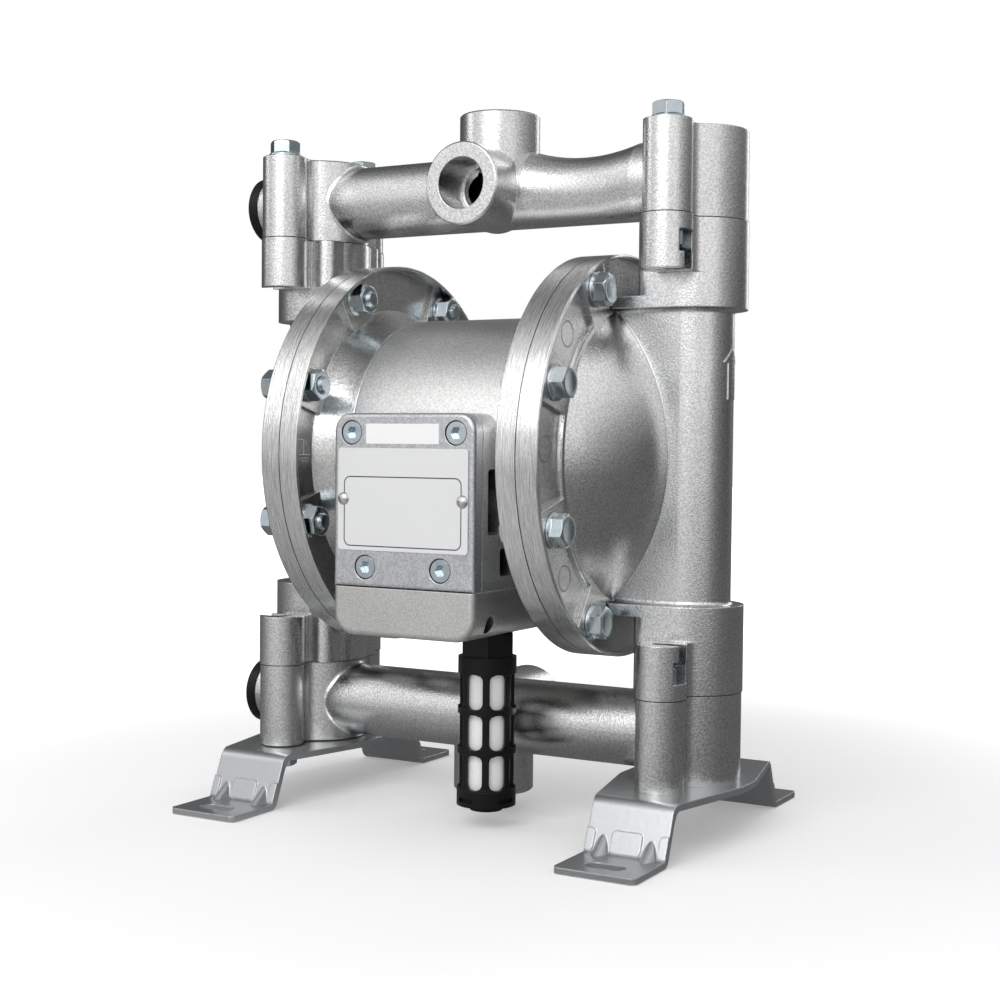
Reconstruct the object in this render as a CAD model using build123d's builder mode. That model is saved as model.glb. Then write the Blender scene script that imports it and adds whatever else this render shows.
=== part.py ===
from build123d import *
import os
from math import cos, pi, radians, sin, sqrt, tan

# Where the castings stand. X runs along the diaphragm shaft, the valve cover faces -Y,
# and the floor under the foot straps is Z = 0.
column_x = 102.5
joint_drop = 105.25
block_height = 40.4
foot_height = 25.1
shaft_z = foot_height + block_height + joint_drop
top_joint_z = shaft_z + joint_drop
bottom_joint_z = shaft_z - joint_drop

# Blend between the walls of a casting
cast_blend = 2.0

# Clearances between pieces
loose_gap = 0.3
fitted_gap = 0.05
bolt_gap = 0.4

# M8 hardware: hexagon flange bolts and nuts, and plain nuts in the covers' pockets
m8_r = 4.0
m8_flats = 13.0
m8_head = 7.5
m8_flange_nut = 8.0
m8_nut = 6.6
m8_flange_r = 7.9
m8_flange = 1.2
m8_flange_slope = 25.0
m8_chamfer_slope = 30.0
m8_hole_r = m8_r + bolt_gap
clamp_end_x = 46.3
nut_bolt_reach = 16.0
hex_turn = 17.0

# Manifold casting, drawn with its joint face down
pipe_r = 17.75
pipe_bore_r = 11.0
waist_r = 15.6
waist_x = 48.0
waist_start_x = 21.0
waist_end_x = 76.0
port_r = 19.25
port_bore_r = 12.1
port_thread = 22.0
port_reach = 36.6
port_edge = 0.8
block_r = 22.8
boss_r = 10.9
boss_y = 33.9
web_blend = 5.0
block_edge = 0.8
stub_r = 15.8
stub_x = 134.2
plug_r = 16.5
plug_flange = 5.4
plug_depth = 9.0

# Ball valves
ball_r = 12.7
ball_lift = 6.0
chamber_r = 16.5
seat_depth = 8.0
seat_bore_r = 8.4
seat_cone = 4.0
seat_rebate = 2.4
cage_rib = 3.0
cage_stop_r = 9.0
cage_stop = 5.0
chamber_depth = 31.0

# Fluid cover
split_x = 61.0
flange_r = 92.45
flange_face_x = 71.3
bolt_edge = 9.65
bolt_circle_r = flange_r - bolt_edge
pad_height = 2.2
rim_width = 1.5
pad_half_angle = 7.3
dome_inset = 13.0
dome_r = bolt_circle_r - dome_inset
dome_height = 30.0
cover_wall = 4.5
cavity_r = dome_r - cover_wall - loose_gap
column_r = 17.5
column_bore_r = 11.0
collar_r = 23.4
collar_height = 39.15
collar_inner_x = 82.5
collar_corner = 6.0
ledge_height = 5.4
pocket_boss_r = 11.3
pocket_boss_height = 24.0
pocket_top = 7.3
pocket_height = 9.7
arrow_length = 23.0
arrow_head = 6.6
arrow_head_width = 13.4
arrow_stem_width = 7.4
arrow_rise = 48.9
arrow_relief = 0.5

# Bolts round the flanges: two angles from the horizontal, in each quarter
bolt_angles = [22.1, 62.3, 117.7, 157.9, 202.1, 242.3, 297.7, 337.9]

# Air chamber
rim_x = 51.5
nut_seat_x = 56.3
recess_x = 58.5
hub_x = 40.3
hub_inset = 11.8
hub_flare = 3.8
hub_flare_x = 50.0
hub_taper = 1.8
hub_base_r = bolt_circle_r - hub_inset
hub_flare_r = hub_base_r - hub_flare
hub_r = hub_flare_r - hub_taper
chamber_floor_x = 45.5
chamber_floor_r = 42.0
lug_width = 13.0
lug_end_y = 75.0
lug_hole_r = 2.1
lug_hole_y = 88.0

# Diaphragms, shaft and plates
diaphragm_thickness = 2.5
diaphragm_inset = 5.8
diaphragm_r = bolt_circle_r - diaphragm_inset
convolution_inset = 14.0
convolution_r = cavity_r - convolution_inset
convolution_height = 6.0
convolution_width = 10.0
shaft_r = 8.0
stud_r = 6.0
plate_r = convolution_r - convolution_inset
plate_thickness = 5.5
plate_edge = 1.5
plate_nut_flats = 19.0
plate_nut = 7.0
bush_r = 12.0
bush_length = 19.0
shaft_room = 1.0

# Centre body and air valve
body_r = hub_r - loose_gap
core_wall = 6.0
core_rib = 8.0
core_depth = 21.0
valve_half_width = 36.6
valve_rise = 18.25
valve_drop = 59.35
valve_top_z = shaft_z + valve_rise
valve_bottom_z = shaft_z - valve_drop
valve_front_y = 83.9
valve_corner = 8.0
valve_cover_depth = 6.9
valve_edge = 1.8
gasket_depth = 0.4
side_pocket = 10.0
side_pocket_corner = 1.5
upper_pocket_width = 11.0
upper_pocket_height = 28.95
upper_pocket_y = 66.5
upper_pocket_drop = 20.45
lower_pocket_width = 11.0
lower_pocket_height = 12.3
lower_pocket_y = 55.5
lower_pocket_drop = 47.25
spool_y = 50.0
sleeve_r = 13.0
sleeve_bore_r = 8.05
sleeve_height = 64.0
sleeve_grooves = 3
sleeve_groove = 6.0
sleeve_groove_r = 11.5
spool_r = 8.0
spool_waist_r = 5.5
spool_height = 54.0
spool_land = 9.0
inlet_boss_r = 13.0
inlet_bore_r = 5.7
inlet_depth = 14.0
inlet_y = 74.0
inlet_rise = 12.0
inlet_z = shaft_z + inlet_rise

# Exhaust block and silencer
exhaust_height = 21.8
exhaust_back_y = 22.0
exhaust_corner = 10.0
exhaust_edge = 2.5
side_hole_r = 4.0
side_hole_y = 68.5
side_hole_z = 7.0
silencer_x = 17.7
silencer_y = 38.0
silencer_r = 13.45
silencer_wall = 2.2
silencer_length = 68.5
silencer_flats = 23.0
silencer_neck = 10.9
silencer_thread_r = 8.3
silencer_thread = 12.0
silencer_cap_r = 7.5
silencer_cap = 2.6
silencer_base_r = 13.65
silencer_base = 7.4
base_slot_width = 9.0
base_slot_height = 2.1
base_slot_z = 3.1
base_slot_start = -16.2
base_slot_depth = 1.2
window_columns = 7
window_rows = 3
window_width = 7.9
window_height = 16.1
window_pitch = 18.45
window_first = 15.55
window_corner = 3.2
window_start = -36.5
row_groove = 0.85
row_groove_height = 15.0
element_gap = 0.8
element_wall = 3.0

# Label plate, rivets and cover screws
label_width = 67.6
label_height = 45.6
label_depth = 0.5
label_drop = 20.0
label_z = shaft_z - label_drop
label_corner = 1.5
rivet_x = 30.9
rivet_r = 2.9
rivet_height = 1.5
rivet_shank_r = 1.5
rivet_shank = 5.0
screw_upper_x = 27.1
screw_lower_x = 19.6
screw_inset_top = 8.65
screw_inset_bottom = 9.05
screw_upper_z = valve_top_z - screw_inset_top
screw_lower_z = valve_bottom_z + screw_inset_bottom
screw_head_r = 5.0
screw_head = 5.2
screw_r = 3.0
screw_length = 16.0
screw_socket = 5.0
screw_socket_depth = 3.0
counterbore_r = 5.5
counterbore = 5.6

# Foot straps
strap_thickness = 3.0
strap_x = 101.5
strap_half_width = 18.8
strap_wide_half_width = 29.8
strap_wide_half_length = 8.0
strap_wide_corner = 12.0
strap_half_length = 97.0
strap_shoulder_y = 58.0
strap_heel_y = 67.0
strap_bend = 3.0
strap_corner = 3.0
dart_x = 11.2
dart_half_width = 5.0
dart_height = 8.5
dart_reach = 7.0
panel_width = 14.0
panel_offset = 22.0
panel_low_z = 3.5
panel_high_z = 12.5
panel_relief = 0.9
panel_corner = 2.0
slot_y = 85.5
slot_length = 18.0
slot_width = 9.5

axis_height = block_height / 2
recess_floor_x = flange_face_x - pad_height
# A ball rests on the 45 degree cone of its seat, and its centre stands this far over the joint
seat_to_centre = ball_r * sqrt(2) - seat_bore_r - seat_cone + loose_gap * sqrt(2)
shaft_axis = Axis((0, 0, shaft_z), (1, 0, 0))
across_shaft = Plane(origin=(0, 0, shaft_z), x_dir=(0, 1, 0), z_dir=(1, 0, 0))
column_middle = Plane.XY.offset(shaft_z)


def polar(radius, angle):
    """Point on a circle round the origin, at an angle in degrees."""
    return (radius * cos(radians(angle)), radius * sin(radians(angle)))


def bolt_points():
    """Centres of the flange bolts, on a plane across the shaft."""
    return [polar(bolt_circle_r, angle) for angle in bolt_angles]


def pad_sectors(inner_r, outer_r):
    """Sketch of the bolt pads between two radii, each with radial sides."""
    with BuildSketch() as pads:
        Circle(outer_r)
        Circle(inner_r, mode=Mode.SUBTRACT)
        with BuildSketch(mode=Mode.INTERSECT):
            for angle in bolt_angles:
                near = polar(2 * outer_r, angle - pad_half_angle)
                far = polar(2 * outer_r, angle + pad_half_angle)
                Polygon((0, 0), near, far, align=None)
    return pads.sketch


def block_outline(main_r, side_r):
    """Sketch of an end block: the valve bore's wall, blended into a bolt boss on either side."""
    to_main = main_r + web_blend
    to_side = side_r + web_blend
    blend_y = (to_main**2 - to_side**2 + boss_y**2) / (2 * boss_y)
    blend_x = sqrt(to_main**2 - blend_y**2)
    with BuildSketch() as outline:
        for side in (-1, 1):
            right = (blend_x, side * blend_y)
            left = (-blend_x, side * blend_y)
            Polygon((0, 0), right, (0, side * boss_y), left, align=None)
            with Locations(right, left):
                Circle(web_blend, mode=Mode.SUBTRACT)
        Circle(main_r)
        with Locations((0, boss_y), (0, -boss_y)):
            Circle(side_r)
    return outline.sketch


def ball_cage():
    """Four guide ribs for a ball, with shoulders that stop it, above a joint face at Z = 0."""
    ball_top = seat_to_centre + ball_lift + sqrt(ball_r**2 - cage_stop_r**2) + loose_gap
    guide_r = ball_r + 2 * loose_gap
    with BuildPart() as ribs:
        for turn in range(4):
            rib_plane = Plane.XY.rotated((0, 0, 45 + 90 * turn))
            with BuildSketch(rib_plane.offset(loose_gap)):
                with Locations(((guide_r + chamber_r) / 2, 0)):
                    Rectangle(chamber_r - guide_r, cage_rib)
            extrude(amount=ball_top)
            with BuildSketch(rib_plane.offset(ball_top)):
                with Locations(((cage_stop_r + chamber_r) / 2, 0)):
                    Rectangle(chamber_r - cage_stop_r, cage_rib)
            extrude(amount=cage_stop)
    return ribs.part


def manifold_casting(waisted):
    """Manifold with its joint faces at Z = 0, ports to -Y and +Z, and the core stub to -X."""
    middle_r = waist_r if waisted else pipe_r
    with BuildPart() as casting:
        for side in (-1, 1):
            with BuildSketch():
                with Locations((side * column_x, 0)):
                    add(block_outline(block_r, boss_r))
            extrude(amount=block_height)
        chamfer(casting.faces().sort_by(Axis.Z)[-1].edges(), block_edge)
        chamfer(casting.faces().sort_by(Axis.Z)[-2].edges(), block_edge)
        with BuildSketch(Plane.YZ.offset(-column_x)):
            with Locations((0, axis_height)):
                Circle(pipe_r)
        extrude(amount=column_x + waist_start_x)
        for x, radius in ((waist_start_x, pipe_r), (waist_x, middle_r), (waist_end_x, pipe_r)):
            with BuildSketch(Plane.YZ.offset(x)):
                with Locations((0, axis_height - pipe_r + radius)):
                    Circle(radius)
        loft()
        with BuildSketch(Plane.YZ.offset(waist_end_x)):
            with Locations((0, axis_height)):
                Circle(pipe_r)
        extrude(amount=column_x - waist_end_x)
        with BuildSketch(Plane.YZ.offset(-stub_x)):
            with Locations((0, axis_height)):
                Circle(stub_r)
        extrude(amount=stub_x - column_x)
        with BuildSketch(Plane.XY.offset(axis_height)):
            Circle(port_r)
        extrude(amount=port_reach)
        with BuildSketch(Plane.XZ):
            with Locations((0, axis_height)):
                Circle(port_r)
        extrude(amount=port_reach)
        rims = casting.edges().filter_by(GeomType.CIRCLE)
        port_rims = rims.filter_by(lambda e: abs(e.radius - port_r) < fitted_gap)
        chamfer([port_rims.sort_by(Axis.Z)[-1], port_rims.sort_by(Axis.Y)[0]], port_edge)
        junctions = casting.edges().filter_by(
            lambda e: e.length > 2 * pi * pipe_r and abs(e.center().X) > waist_end_x + web_blend
        )
        fillet(junctions, cast_blend)
        with BuildSketch(Plane.YZ.offset(-stub_x)):
            with Locations((0, axis_height)):
                Circle(pipe_bore_r)
        extrude(amount=stub_x + column_x, mode=Mode.SUBTRACT)
        with BuildSketch(Plane.XY.offset(axis_height)):
            Circle(pipe_bore_r)
        extrude(amount=port_reach, mode=Mode.SUBTRACT)
        with BuildSketch(Plane.XY.offset(axis_height + port_reach)):
            Circle(port_bore_r)
        extrude(amount=-port_thread, mode=Mode.SUBTRACT)
        with BuildSketch(Plane.XZ):
            with Locations((0, axis_height)):
                Circle(pipe_bore_r)
        extrude(amount=port_reach, mode=Mode.SUBTRACT)
        with BuildSketch(Plane.XZ.offset(port_reach)):
            with Locations((0, axis_height)):
                Circle(port_bore_r)
        extrude(amount=-port_thread, mode=Mode.SUBTRACT)
        with BuildSketch():
            for side in (-1, 1):
                with Locations((side * column_x, boss_y), (side * column_x, -boss_y)):
                    Circle(m8_hole_r)
        extrude(amount=block_height, mode=Mode.SUBTRACT)
    return casting.part


with BuildPart() as top_manifold:
    with Locations((0, 0, top_joint_z)):
        add(manifold_casting(True))
    for side in (-1, 1):
        with BuildSketch(Plane.XY.offset(top_joint_z)):
            with Locations((side * column_x, 0)):
                Circle(chamber_r)
        extrude(amount=chamber_depth, mode=Mode.SUBTRACT)
        with Locations((side * column_x, 0, top_joint_z)):
            add(ball_cage())
top_manifold.part.label = "top_manifold"

with BuildPart() as bottom_manifold:
    with Locations(Location((0, 0, bottom_joint_z), (180, 0, 0))):
        add(manifold_casting(False))
    for side in (-1, 1):
        with BuildSketch(Plane.XY.offset(bottom_joint_z)):
            with Locations((side * column_x, 0)):
                Circle(chamber_r)
        extrude(amount=-seat_depth, mode=Mode.SUBTRACT)
        with BuildSketch(Plane.XY.offset(bottom_joint_z)):
            with Locations((side * column_x, 0)):
                Circle(pipe_bore_r)
        extrude(amount=-axis_height, mode=Mode.SUBTRACT)
bottom_manifold.part.label = "bottom_manifold"


def cover_end(joint_z, up):
    """Collar, ledge and bolt bosses at one end of the column; up is 1 at the top, -1 below."""
    with BuildPart() as end:
        with BuildSketch(Plane.XY.offset(joint_z)) as collar:
            with Locations(((collar_inner_x + column_x) / 2, 0)):
                Rectangle(column_x - collar_inner_x, 2 * collar_r)
            fillet(collar.vertices().group_by(Axis.X)[0], collar_corner)
            with Locations((column_x, 0)):
                Circle(collar_r)
        extrude(amount=-up * collar_height)
        with BuildSketch(Plane.XY.offset(joint_z - up * collar_height)):
            with Locations(((recess_floor_x + column_x) / 2, 0)):
                Rectangle(column_x - recess_floor_x, 2 * collar_r)
        extrude(amount=up * ledge_height)
        with BuildSketch(Plane.XY.offset(joint_z)):
            with Locations((column_x, 0)):
                add(block_outline(collar_r, pocket_boss_r))
        extrude(amount=-up * pocket_boss_height)
    return end.part


def nut_pockets(joint_z, up):
    """Pockets for the captive nuts, open to the outer side, and the slots for the bolt ends."""
    nut_room = m8_flats / sqrt(3) + loose_gap
    with BuildPart() as pockets:
        for side in (-1, 1):
            with BuildSketch(Plane.XY.offset(joint_z - up * pocket_top)):
                with Locations((column_x + pocket_boss_r - nut_room / 2, side * boss_y)):
                    Rectangle(2 * pocket_boss_r + nut_room, m8_flats + 2 * loose_gap)
            extrude(amount=-up * pocket_height)
            with BuildSketch(Plane.XY.offset(joint_z - up * pocket_top)):
                with Locations((column_x + pocket_boss_r, side * boss_y)):
                    Rectangle(2 * pocket_boss_r, 2 * m8_hole_r)
            extrude(amount=-up * pocket_boss_height)
            with BuildSketch(Plane.XY.offset(joint_z)):
                with Locations((column_x, side * boss_y)):
                    Circle(m8_hole_r)
            extrude(amount=-up * pocket_boss_height)
    return pockets.part


def flow_arrow():
    """Raised block arrow on the outer side of the column, pointing up with the flow."""
    tip_z = shaft_z + arrow_rise
    barb_z = tip_z - arrow_head
    barb = arrow_head_width / 2
    stem = arrow_stem_width / 2
    with BuildPart() as arrow:
        with BuildSketch(Plane.YZ.offset(column_x + (column_r + column_bore_r) / 2)):
            Polygon(
                (0, tip_z),
                (-barb, barb_z),
                (-stem, barb_z),
                (-stem, tip_z - arrow_length),
                (stem, tip_z - arrow_length),
                (stem, barb_z),
                (barb, barb_z),
                align=None,
            )
        extrude(amount=column_r)
        with BuildSketch(column_middle):
            with Locations((column_x, 0)):
                Circle(column_r + arrow_relief)
        extrude(amount=2 * arrow_rise, mode=Mode.INTERSECT)
    return arrow.part


def fluid_cover_casting():
    """Fluid cover of the +X side: bolted flange, spherical dome and valve column in one casting."""
    dome_sphere_r = (dome_r**2 + dome_height**2) / (2 * dome_height)
    dome_centre_x = recess_floor_x + dome_height - dome_sphere_r
    inner_sphere_r = dome_sphere_r - cover_wall
    mouth_x = dome_centre_x + sqrt(inner_sphere_r**2 - cavity_r**2)
    with BuildPart() as casting:
        with BuildSketch(across_shaft.offset(split_x)):
            Circle(flange_r)
        extrude(amount=flange_face_x - split_x)
        chamfer(casting.edges().sort_by(Axis.X)[-1], block_edge)
        with BuildSketch(across_shaft.offset(flange_face_x)):
            Circle(flange_r - rim_width)
            Circle(dome_r, mode=Mode.SUBTRACT)
            add(pad_sectors(dome_r, flange_r), mode=Mode.SUBTRACT)
        extrude(amount=-pad_height, mode=Mode.SUBTRACT)
        with BuildSketch(column_middle):
            with Locations((column_x, 0)):
                Circle(column_r)
            with Locations(((recess_floor_x + column_x) / 2, 0)):
                Rectangle(column_x - recess_floor_x, 2 * column_r)
        extrude(amount=joint_drop - collar_height + ledge_height, both=True)
        with BuildSketch(Plane.XZ):
            with BuildLine():
                apex = (recess_floor_x + dome_height, shaft_z)
                base = (recess_floor_x, shaft_z + dome_r)
                Line((split_x, shaft_z), apex)
                RadiusArc(apex, base, -dome_sphere_r)
                Line(base, (split_x, shaft_z + dome_r))
                Line((split_x, shaft_z + dome_r), (split_x, shaft_z))
            make_face()
        revolve(axis=shaft_axis)
        add(cover_end(top_joint_z, 1))
        add(cover_end(bottom_joint_z, -1))
        with BuildSketch(Plane.XZ):
            with BuildLine():
                inner_apex = (dome_centre_x + inner_sphere_r, shaft_z)
                mouth = (mouth_x, shaft_z + cavity_r)
                Line((split_x, shaft_z), inner_apex)
                RadiusArc(inner_apex, mouth, -inner_sphere_r)
                Line(mouth, (split_x, shaft_z + cavity_r))
                Line((split_x, shaft_z + cavity_r), (split_x, shaft_z))
            make_face()
        revolve(axis=shaft_axis, mode=Mode.SUBTRACT)
        with BuildSketch(across_shaft.offset(split_x)):
            Circle(diaphragm_r)
        extrude(amount=diaphragm_thickness + 2 * fitted_gap, mode=Mode.SUBTRACT)
        with BuildSketch(Plane.XY.offset(bottom_joint_z)):
            with Locations((column_x, 0)):
                Circle(column_bore_r)
        extrude(amount=2 * joint_drop, mode=Mode.SUBTRACT)
        with BuildSketch(Plane.XY.offset(bottom_joint_z)):
            with Locations((column_x, 0)):
                Circle(chamber_r)
        extrude(amount=chamber_depth, mode=Mode.SUBTRACT)
        with BuildSketch(Plane.XY.offset(top_joint_z)):
            with Locations((column_x, 0)):
                Circle(chamber_r)
        extrude(amount=-seat_depth, mode=Mode.SUBTRACT)
        with Locations((column_x, 0, bottom_joint_z)):
            add(ball_cage())
        add(nut_pockets(top_joint_z, 1), mode=Mode.SUBTRACT)
        add(nut_pockets(bottom_joint_z, -1), mode=Mode.SUBTRACT)
        with BuildSketch(across_shaft.offset(split_x)):
            with Locations(*bolt_points()):
                Circle(m8_hole_r)
        extrude(amount=flange_face_x - split_x, mode=Mode.SUBTRACT)
        dome_base = casting.edges().filter_by(
            lambda e: e.geom_type == GeomType.CIRCLE
            and abs(e.center().X - recess_floor_x) < fitted_gap
            and abs(e.radius - dome_r) < fitted_gap
        )
        fillet(dome_base, cast_blend)
        ledge_drop = joint_drop - collar_height
        ledge_edges = casting.edges().filter_by(
            lambda e: abs(abs(e.center().Z - shaft_z) - ledge_drop) < fitted_gap
            and e.length > pad_height
        )
        root_lines = ledge_edges.filter_by(lambda e: abs(abs(e.center().Y) - column_r) < fitted_gap)
        root_arcs = ledge_edges.filter_by(GeomType.CIRCLE).filter_by(
            lambda e: abs(e.radius - column_r) < fitted_gap
        )
        fillet(root_lines + root_arcs, cast_blend)
        add(flow_arrow())
    return casting.part


right_cover = fluid_cover_casting()

with BuildPart() as right_fluid_cover:
    add(right_cover)
right_fluid_cover.part.label = "right_fluid_cover"

with BuildPart() as left_fluid_cover:
    add(mirror(right_cover, about=Plane.YZ))
left_fluid_cover.part.label = "left_fluid_cover"


def air_chamber_casting():
    """Air chamber of the +X side, turned about the shaft, with a recessed face for the nuts."""
    with BuildPart() as casting:
        with BuildSketch(Plane.XZ):
            with BuildLine():
                hub_edge = (hub_x, shaft_z + hub_r)
                hub_base = (recess_x, shaft_z + hub_base_r)
                floor_edge = (chamber_floor_x, shaft_z + chamber_floor_r)
                mouth = (split_x, shaft_z + cavity_r)
                bore = shaft_z + bush_r + fitted_gap
                ThreePointArc(hub_edge, (hub_flare_x, shaft_z + hub_flare_r), hub_base)
                Polyline(
                    hub_base,
                    (recess_x, shaft_z + flange_r - rim_width),
                    (rim_x, shaft_z + flange_r - rim_width),
                    (rim_x, shaft_z + flange_r),
                    (split_x, shaft_z + flange_r),
                    mouth,
                )
                Line(mouth, floor_edge)
                Polyline(floor_edge, (chamber_floor_x, bore), (hub_x, bore), hub_edge)
            make_face()
        revolve(axis=shaft_axis)
        with BuildSketch(across_shaft.offset(nut_seat_x)):
            add(pad_sectors(hub_base_r - pad_height, flange_r - rim_width / 2))
        extrude(amount=recess_x - nut_seat_x)
        with BuildSketch(across_shaft.offset(nut_seat_x)):
            with Locations(*bolt_points()):
                Circle(m8_hole_r)
        extrude(amount=split_x - nut_seat_x, mode=Mode.SUBTRACT)
    return casting.part


right_chamber = air_chamber_casting()

with BuildPart() as right_air_chamber:
    add(right_chamber)
right_air_chamber.part.label = "right_air_chamber"

with BuildPart() as left_air_chamber:
    add(mirror(right_chamber, about=Plane.YZ))
    lug_root_y = flange_r - rim_width
    lug_length = lug_root_y + lug_width - lug_end_y
    with BuildSketch(across_shaft.offset(-recess_x)):
        with Locations((-lug_end_y - lug_length / 2, 0)):
            SlotOverall(lug_length, lug_width)
        with Locations((-lug_root_y - lug_width / 2, 0)):
            Rectangle(lug_width, lug_width, mode=Mode.SUBTRACT)
    extrude(amount=recess_x - nut_seat_x)
    with BuildSketch(across_shaft.offset(-recess_x)):
        with Locations((-lug_hole_y, 0)):
            Circle(lug_hole_r)
    extrude(amount=recess_x - nut_seat_x, mode=Mode.SUBTRACT)
left_air_chamber.part.label = "left_air_chamber"


def valve_outline():
    """Outline of the air valve, seen from the front: rounded at the top, square at its foot."""
    height = valve_top_z - valve_bottom_z
    with BuildSketch() as outline:
        with Locations((0, valve_bottom_z + height / 2)):
            Rectangle(2 * valve_half_width, height)
        fillet(outline.vertices().group_by(Axis.Y)[-1], valve_corner)
    return outline.sketch


def cover_screw_points():
    """Centres of the four cover screws, on the plane Y = 0."""
    upper = [(side * screw_upper_x, screw_upper_z) for side in (-1, 1)]
    lower = [(side * screw_lower_x, screw_lower_z) for side in (-1, 1)]
    return upper + lower


body_face_y = valve_front_y - valve_cover_depth - gasket_depth
screw_seat_y = valve_front_y - counterbore
screw_end_y = screw_seat_y - screw_length

with BuildPart() as center_body:
    with BuildSketch(across_shaft.offset(-hub_x)):
        Circle(body_r)
    extrude(amount=2 * hub_x)
    with BuildSketch(Plane.XZ):
        add(valve_outline())
    extrude(amount=body_face_y)
    with BuildSketch(Plane.XZ.offset(-inlet_y)):
        with Locations((0, inlet_z)):
            Circle(inlet_boss_r)
    extrude(amount=inlet_y - body_r / 2)
    for side in (-1, 1):
        with BuildSketch(across_shaft.offset(side * hub_x)):
            Circle(body_r - core_wall)
            Circle(bush_r + core_wall, mode=Mode.SUBTRACT)
            Rectangle(2 * body_r, core_rib, mode=Mode.SUBTRACT)
            Rectangle(core_rib, 2 * body_r, mode=Mode.SUBTRACT)
        extrude(amount=-side * core_depth, mode=Mode.SUBTRACT)
        with BuildSketch(across_shaft.offset(side * hub_x)):
            Circle(bush_r + fitted_gap)
        extrude(amount=-side * (bush_length - chamber_floor_x + hub_x), mode=Mode.SUBTRACT)
    with BuildSketch(across_shaft.offset(-hub_x)):
        Circle(shaft_r + shaft_room)
    extrude(amount=2 * hub_x, mode=Mode.SUBTRACT)
    for side in (-1, 1):
        with BuildSketch(Plane.YZ.offset(side * valve_half_width)):
            with Locations((-upper_pocket_y, shaft_z - upper_pocket_drop)):
                RectangleRounded(upper_pocket_width, upper_pocket_height, side_pocket_corner)
            with Locations((-lower_pocket_y, shaft_z - lower_pocket_drop)):
                RectangleRounded(lower_pocket_width, lower_pocket_height, side_pocket_corner)
        extrude(amount=-side * side_pocket, mode=Mode.SUBTRACT)
    with BuildSketch(Plane.XZ.offset(-inlet_y)):
        with Locations((0, inlet_z)):
            Circle(inlet_bore_r)
    extrude(amount=inlet_depth, mode=Mode.SUBTRACT)
    with BuildSketch(Plane.XY.offset(valve_bottom_z)):
        with Locations((0, -spool_y)):
            Circle(sleeve_r + fitted_gap)
    extrude(amount=sleeve_height + fitted_gap, mode=Mode.SUBTRACT)
    with BuildSketch(Plane.XZ.offset(screw_end_y - loose_gap)):
        with Locations(*cover_screw_points()):
            Circle(screw_r + fitted_gap)
    extrude(amount=body_face_y - screw_end_y + loose_gap, mode=Mode.SUBTRACT)
center_body.part.label = "center_body"

with BuildPart() as valve_gasket:
    with BuildSketch(Plane.XZ.offset(body_face_y)):
        offset(valve_outline(), amount=-gasket_depth)
        with Locations(*cover_screw_points()):
            Circle(screw_r + bolt_gap, mode=Mode.SUBTRACT)
    extrude(amount=gasket_depth)
valve_gasket.part.label = "valve_gasket"

with BuildPart() as valve_cover:
    with BuildSketch(Plane.XZ.offset(valve_front_y - valve_cover_depth)):
        add(valve_outline())
    extrude(amount=valve_cover_depth)
    fillet(valve_cover.faces().sort_by(Axis.Y)[0].edges(), valve_edge)
    with BuildSketch(Plane.XZ.offset(valve_front_y - valve_cover_depth)):
        with Locations(*cover_screw_points()):
            Circle(screw_r + bolt_gap)
    extrude(amount=valve_cover_depth, mode=Mode.SUBTRACT)
    with BuildSketch(Plane.XZ.offset(screw_seat_y)):
        with Locations(*cover_screw_points()):
            Circle(counterbore_r)
    extrude(amount=counterbore, mode=Mode.SUBTRACT)
    with BuildSketch(Plane.XZ.offset(valve_front_y - valve_cover_depth)):
        with Locations((rivet_x, label_z), (-rivet_x, label_z)):
            Circle(rivet_shank_r + fitted_gap)
    extrude(amount=valve_cover_depth, mode=Mode.SUBTRACT)
valve_cover.part.label = "valve_cover"

with BuildPart() as cover_screws:
    for x, z in cover_screw_points():
        with BuildSketch(Plane.XZ.offset(screw_end_y)):
            with Locations((x, z)):
                Circle(screw_r)
        extrude(amount=screw_length)
        with BuildSketch(Plane.XZ.offset(screw_seat_y)):
            with Locations((x, z)):
                Circle(screw_head_r)
        extrude(amount=screw_head)
        with BuildSketch(Plane.XZ.offset(screw_seat_y + screw_head)):
            with Locations((x, z)):
                RegularPolygon(screw_socket / 2, 6, major_radius=False)
        extrude(amount=-screw_socket_depth, mode=Mode.SUBTRACT)
cover_screws.part.label = "cover_screws"

with BuildPart() as label_plate:
    with BuildSketch(Plane.XZ.offset(valve_front_y + fitted_gap)):
        with Locations((0, label_z)):
            RectangleRounded(label_width, label_height, label_corner)
        with Locations((rivet_x, label_z), (-rivet_x, label_z)):
            Circle(rivet_shank_r + fitted_gap, mode=Mode.SUBTRACT)
    extrude(amount=label_depth)
label_plate.part.label = "label_plate"

with BuildPart() as label_rivets:
    rivet_face_y = valve_front_y + label_depth + 2 * fitted_gap
    for side in (-1, 1):
        with BuildSketch(Plane.YZ.offset(side * rivet_x)):
            with BuildLine():
                head_edge = (-rivet_face_y, label_z + rivet_r)
                head_top = (-rivet_face_y - rivet_height, label_z)
                bulge = (rivet_r**2 + rivet_height**2) / (2 * rivet_height)
                RadiusArc(head_edge, head_top, -bulge)
                Polyline(
                    head_top,
                    (-rivet_face_y + rivet_shank, label_z),
                    (-rivet_face_y + rivet_shank, label_z + rivet_shank_r),
                    (-rivet_face_y, label_z + rivet_shank_r),
                    head_edge,
                )
            make_face()
        revolve(axis=Axis((side * rivet_x, 0, label_z), (0, 1, 0)))
label_rivets.part.label = "label_rivets"

exhaust_bottom_z = valve_bottom_z - exhaust_height

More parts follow.
